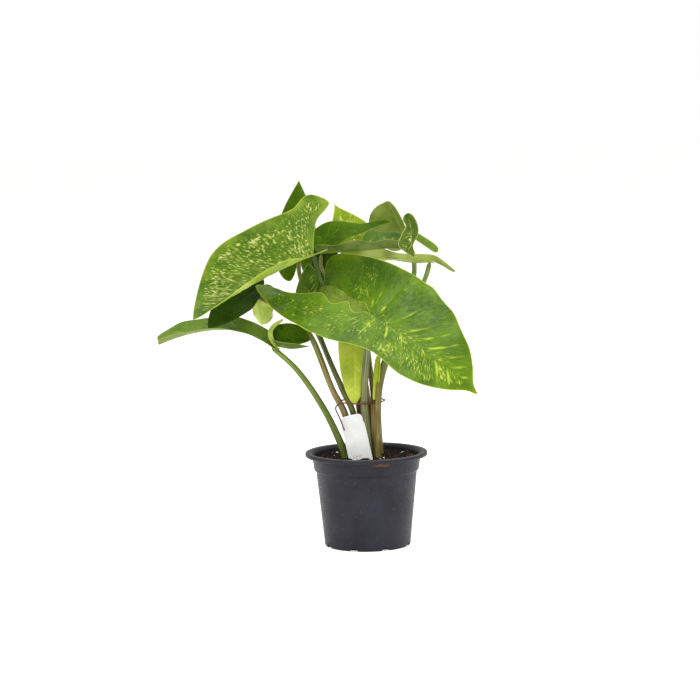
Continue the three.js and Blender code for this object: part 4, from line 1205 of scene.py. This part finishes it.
def makeSoil():
    bottom, shoulder = pot["floor"] + soil["gap"], pot["shoulder"]
    edge = potInner(shoulder) - soil["gap"]
    profile = [(0, bottom), (potInner(bottom) - soil["gap"], bottom), (edge, shoulder)]
    profile += [(edge * i / soil["rings"], soil["level"]) for i in range(soil["rings"], -1, -1)]
    points, faces = revolve(profile, soil["segments"])
    points = np.array(points)
    topFrom = soil["level"] - soil["topBand"]
    onTop = points[:, 2] > topFrom
    points[onTop, 2] = soilTop(points[onTop, 0], points[onTop, 1])
    area = math.pi * (edge * mm) ** 2
    tree, mix, white = crumbTree(), soilMaterial(), perliteMaterial()
    for name, (count, smallest, largest, seed) in soil["strewn"].items():
        finish = white if name == "perliteGrains" else mix
        surface = newPiece(name + "Surface", points, faces, [finish])
        addModifierTree(surface, tree, {
            "Density": count / area, "Smallest": smallest, "Largest": largest, "Seed": seed,
            "Above": topFrom * mm, "Keep Surface": name == "pottingSoil", "Finish": finish})
        finishPiece(settle(surface, name), "soil", *(["soil"] if name == "pottingSoil" else []))


makeSoil()
print("soil ready")


# The blank label leans back and is tilted to one side, in degrees.
label = {
    "width": 20, "headWidth": 18.5, "shoulder": 1, "headLength": 9, "length": 76, "pointLength": 18,
    "corner": 5, "cornerSteps": 8, "thickness": 0.8, "bevel": 0.12, "foot": (2.8, -25, 41),
    "lean": -11, "tilt": 12,
    "dirt": (77, 83),  # heights between which the soil's dirt fades
}


def labelMaterial():
    material, tree, surface = newMaterial("labelPlastic", **{
        "Roughness": 0.5, "Specular IOR Level": 0.2, "Subsurface Weight": 0.1, "Subsurface Scale": 0.001})
    place = objectPlace(tree)
    cloud = useGroup(tree, mottle, {"Place": place, "Scale": 70.0})
    base = mixColour(tree, cloud["Cloud"], "d6d6d6", "e0e0e0")
    dirtFull, dirtEnd = (height * mm for height in label["dirt"])
    damp = smoothStep(tree, heightOf(tree, place), dirtFull, dirtEnd, 1.0, 0.0)
    dirt = times(tree, damp, smoothStep(tree, noise(tree, place, 500.0, 4.0), 0.45, 0.7))
    base = mixColour(tree, times(tree, dirt, 0.7), base, "6d5844")
    tree.links.new(base, surface["Base Color"])
    addBump(tree, surface, cloud["Grain"], 0.15, 0.0002)
    return material


def makeLabel():
    half, head, top, corner = label["width"] / 2, label["headWidth"] / 2, label["length"], label["corner"]
    shoulder = top - label["headLength"]
    right = [(half, label["pointLength"]), (half, shoulder), (head, shoulder + label["shoulder"]),
             (head, top - corner)]
    for t in np.linspace(0, 1, label["cornerSteps"] + 1)[1:]:
        right.append((head * (1 - t**2) + (head - corner) * t**2,
                      (top - corner) * (1 - t) ** 2 + top * (1 - (1 - t) ** 2)))
    outline = [(0, 0), *right, *[(-x, y) for x, y in reversed(right)]]
    curve, spline = polyCurve("labelOutline", [(x, y, 0) for x, y in outline], "2D")
    curve.fill_mode = "BOTH"
    spline.use_cyclic_u = True
    curve.bevel_depth = label["bevel"] * mm
    curve.bevel_resolution = 2
    curve.offset = -label["bevel"] * mm
    curve.extrude = (label["thickness"] / 2 - label["bevel"]) * mm
    piece = settle(addObject("labelOutline", curve), "plantLabel")
    turn = (Matrix.Translation(Vector(label["foot"]) * mm)
            @ Matrix.Rotation(math.radians(-label["tilt"]), 4, "Y")
            @ Matrix.Rotation(math.radians(90 + label["lean"]), 4, "X"))
    piece.data.transform(turn)
    piece.data.materials.clear()
    piece.data.materials.append(labelMaterial())
    finishPiece(piece, "white_plastic", "label")


makeLabel()
print("label ready")


# The wire runs from the end that hangs in front, round the stalks, to the end behind them.
tie = {
    "radius": 0.65, "sides": 12, "step": 0.8,
    "route": [(-18.4, -19, 102), (-22, -18, 112), (-25.5, -14, 121), (-22, -13.5, 124.5), (-8, -14.5, 124),
              (2, -14, 124), (9.2, -8, 124), (13.4, -3, 124), (16.5, 10, 124), (8, 20, 124), (-14, 16, 124),
              (-24, 6, 124)],
}


def tieMaterial():
    material, tree, surface = newMaterial("tieWire", **{"Roughness": 0.4})
    around, reach = attribute(tree, "around", "Vector"), attribute(tree, "reach")
    streak = useGroup(tree, fibres, {"Around": around, "Reach": reach, "Fine": 2.0})
    base = mixColour(tree, streak["Blotch"], "4c2010", "703420")
    tree.links.new(base, surface["Base Color"])
    addBump(tree, surface, streak["Streak"], 0.3, 0.0002)
    return material


wire = pathBody("wireTie", tie["route"], [tie["radius"]] * 2, tieMaterial(), Flare=0.0, Groove=0.0,
                Step=tie["step"] * mm, Sides=tie["sides"])
finishPiece(wire, "brown_wire", "tie")
print("tie ready")


# Lengths in millimetres, angles in degrees; the lens is in its own millimetres.
studio = {
    "cameraPlace": (-12.5, -2180, 424), "cameraDown": 6.68, "cameraRoll": 0.985, "lens": 132.0,
    "floorSize": 16000, "farClip": 50000, "floorGlow": 0.5, "worldLight": 0.6,
    "lights": {  # place, size and watts
        "keyLight": ((-900, -1500, 1500), 1100, 26),
        "fillLight": ((1300, -1300, 1000), 1200, 14),
        "topLight": ((100, 300, 1900), 1300, 16)},
    "aim": (-20, 0, 180),
}


def makeStage():
    half = studio["floorSize"] / 2
    material, tree, surface = newMaterial("studioFloor", **{"Roughness": 0.8})
    base = mixColour(tree, noise(tree, objectPlace(tree), 6.0, 3.0), "f3f1ee", "fbfaf8")
    tree.links.new(base, surface["Base Color"])
    surface["Emission Strength"].default_value = studio["floorGlow"]
    tree.links.new(base, surface["Emission Color"])
    corners = [(-half, -half, 0), (half, -half, 0), (half, half, 0), (-half, half, 0)]
    floor = newPiece("studioFloor", corners, [[0, 1, 2, 3]], [material])
    world = bpy.data.worlds.new("studioWorld")
    world.use_nodes = True
    sky = world.node_tree
    seen = put(sky, "ShaderNodeLightPath").outputs["Is Camera Ray"]
    strength = put(sky, "ShaderNodeMapRange", {0: seen, 3: studio["worldLight"], 4: 1.0}).outputs[0]
    sky.nodes["Background"].inputs["Color"].default_value = (1.0, 1.0, 1.0, 1.0)
    sky.links.new(strength, sky.nodes["Background"].inputs["Strength"])
    scene.world = world


def addLight(name, place, size, watts):
    light = bpy.data.lights.new(name, "AREA")
    light.size = size * mm
    light.energy = watts
    lamp = addObject(name, light)
    lamp.location = Vector(place) * mm
    lamp.rotation_euler = (Vector(studio["aim"]) - Vector(place)).to_track_quat("-Z", "Y").to_euler()


def addCamera():
    lens = bpy.data.cameras.new("camera")
    lens.lens = studio["lens"]
    lens.clip_end = studio["farClip"] * mm
    camera = addObject("camera", lens)
    turn = (Matrix.Rotation(math.radians(90 - studio["cameraDown"]), 4, "X")
            @ Matrix.Rotation(math.radians(-studio["cameraRoll"]), 4, "Z"))
    camera.matrix_world = Matrix.Translation(Vector(studio["cameraPlace"]) * mm) @ turn
    scene.camera = camera


makeStage()
for name, (place, size, watts) in studio["lights"].items():
    addLight(name, place, size, watts)
addCamera()
print("stage ready")
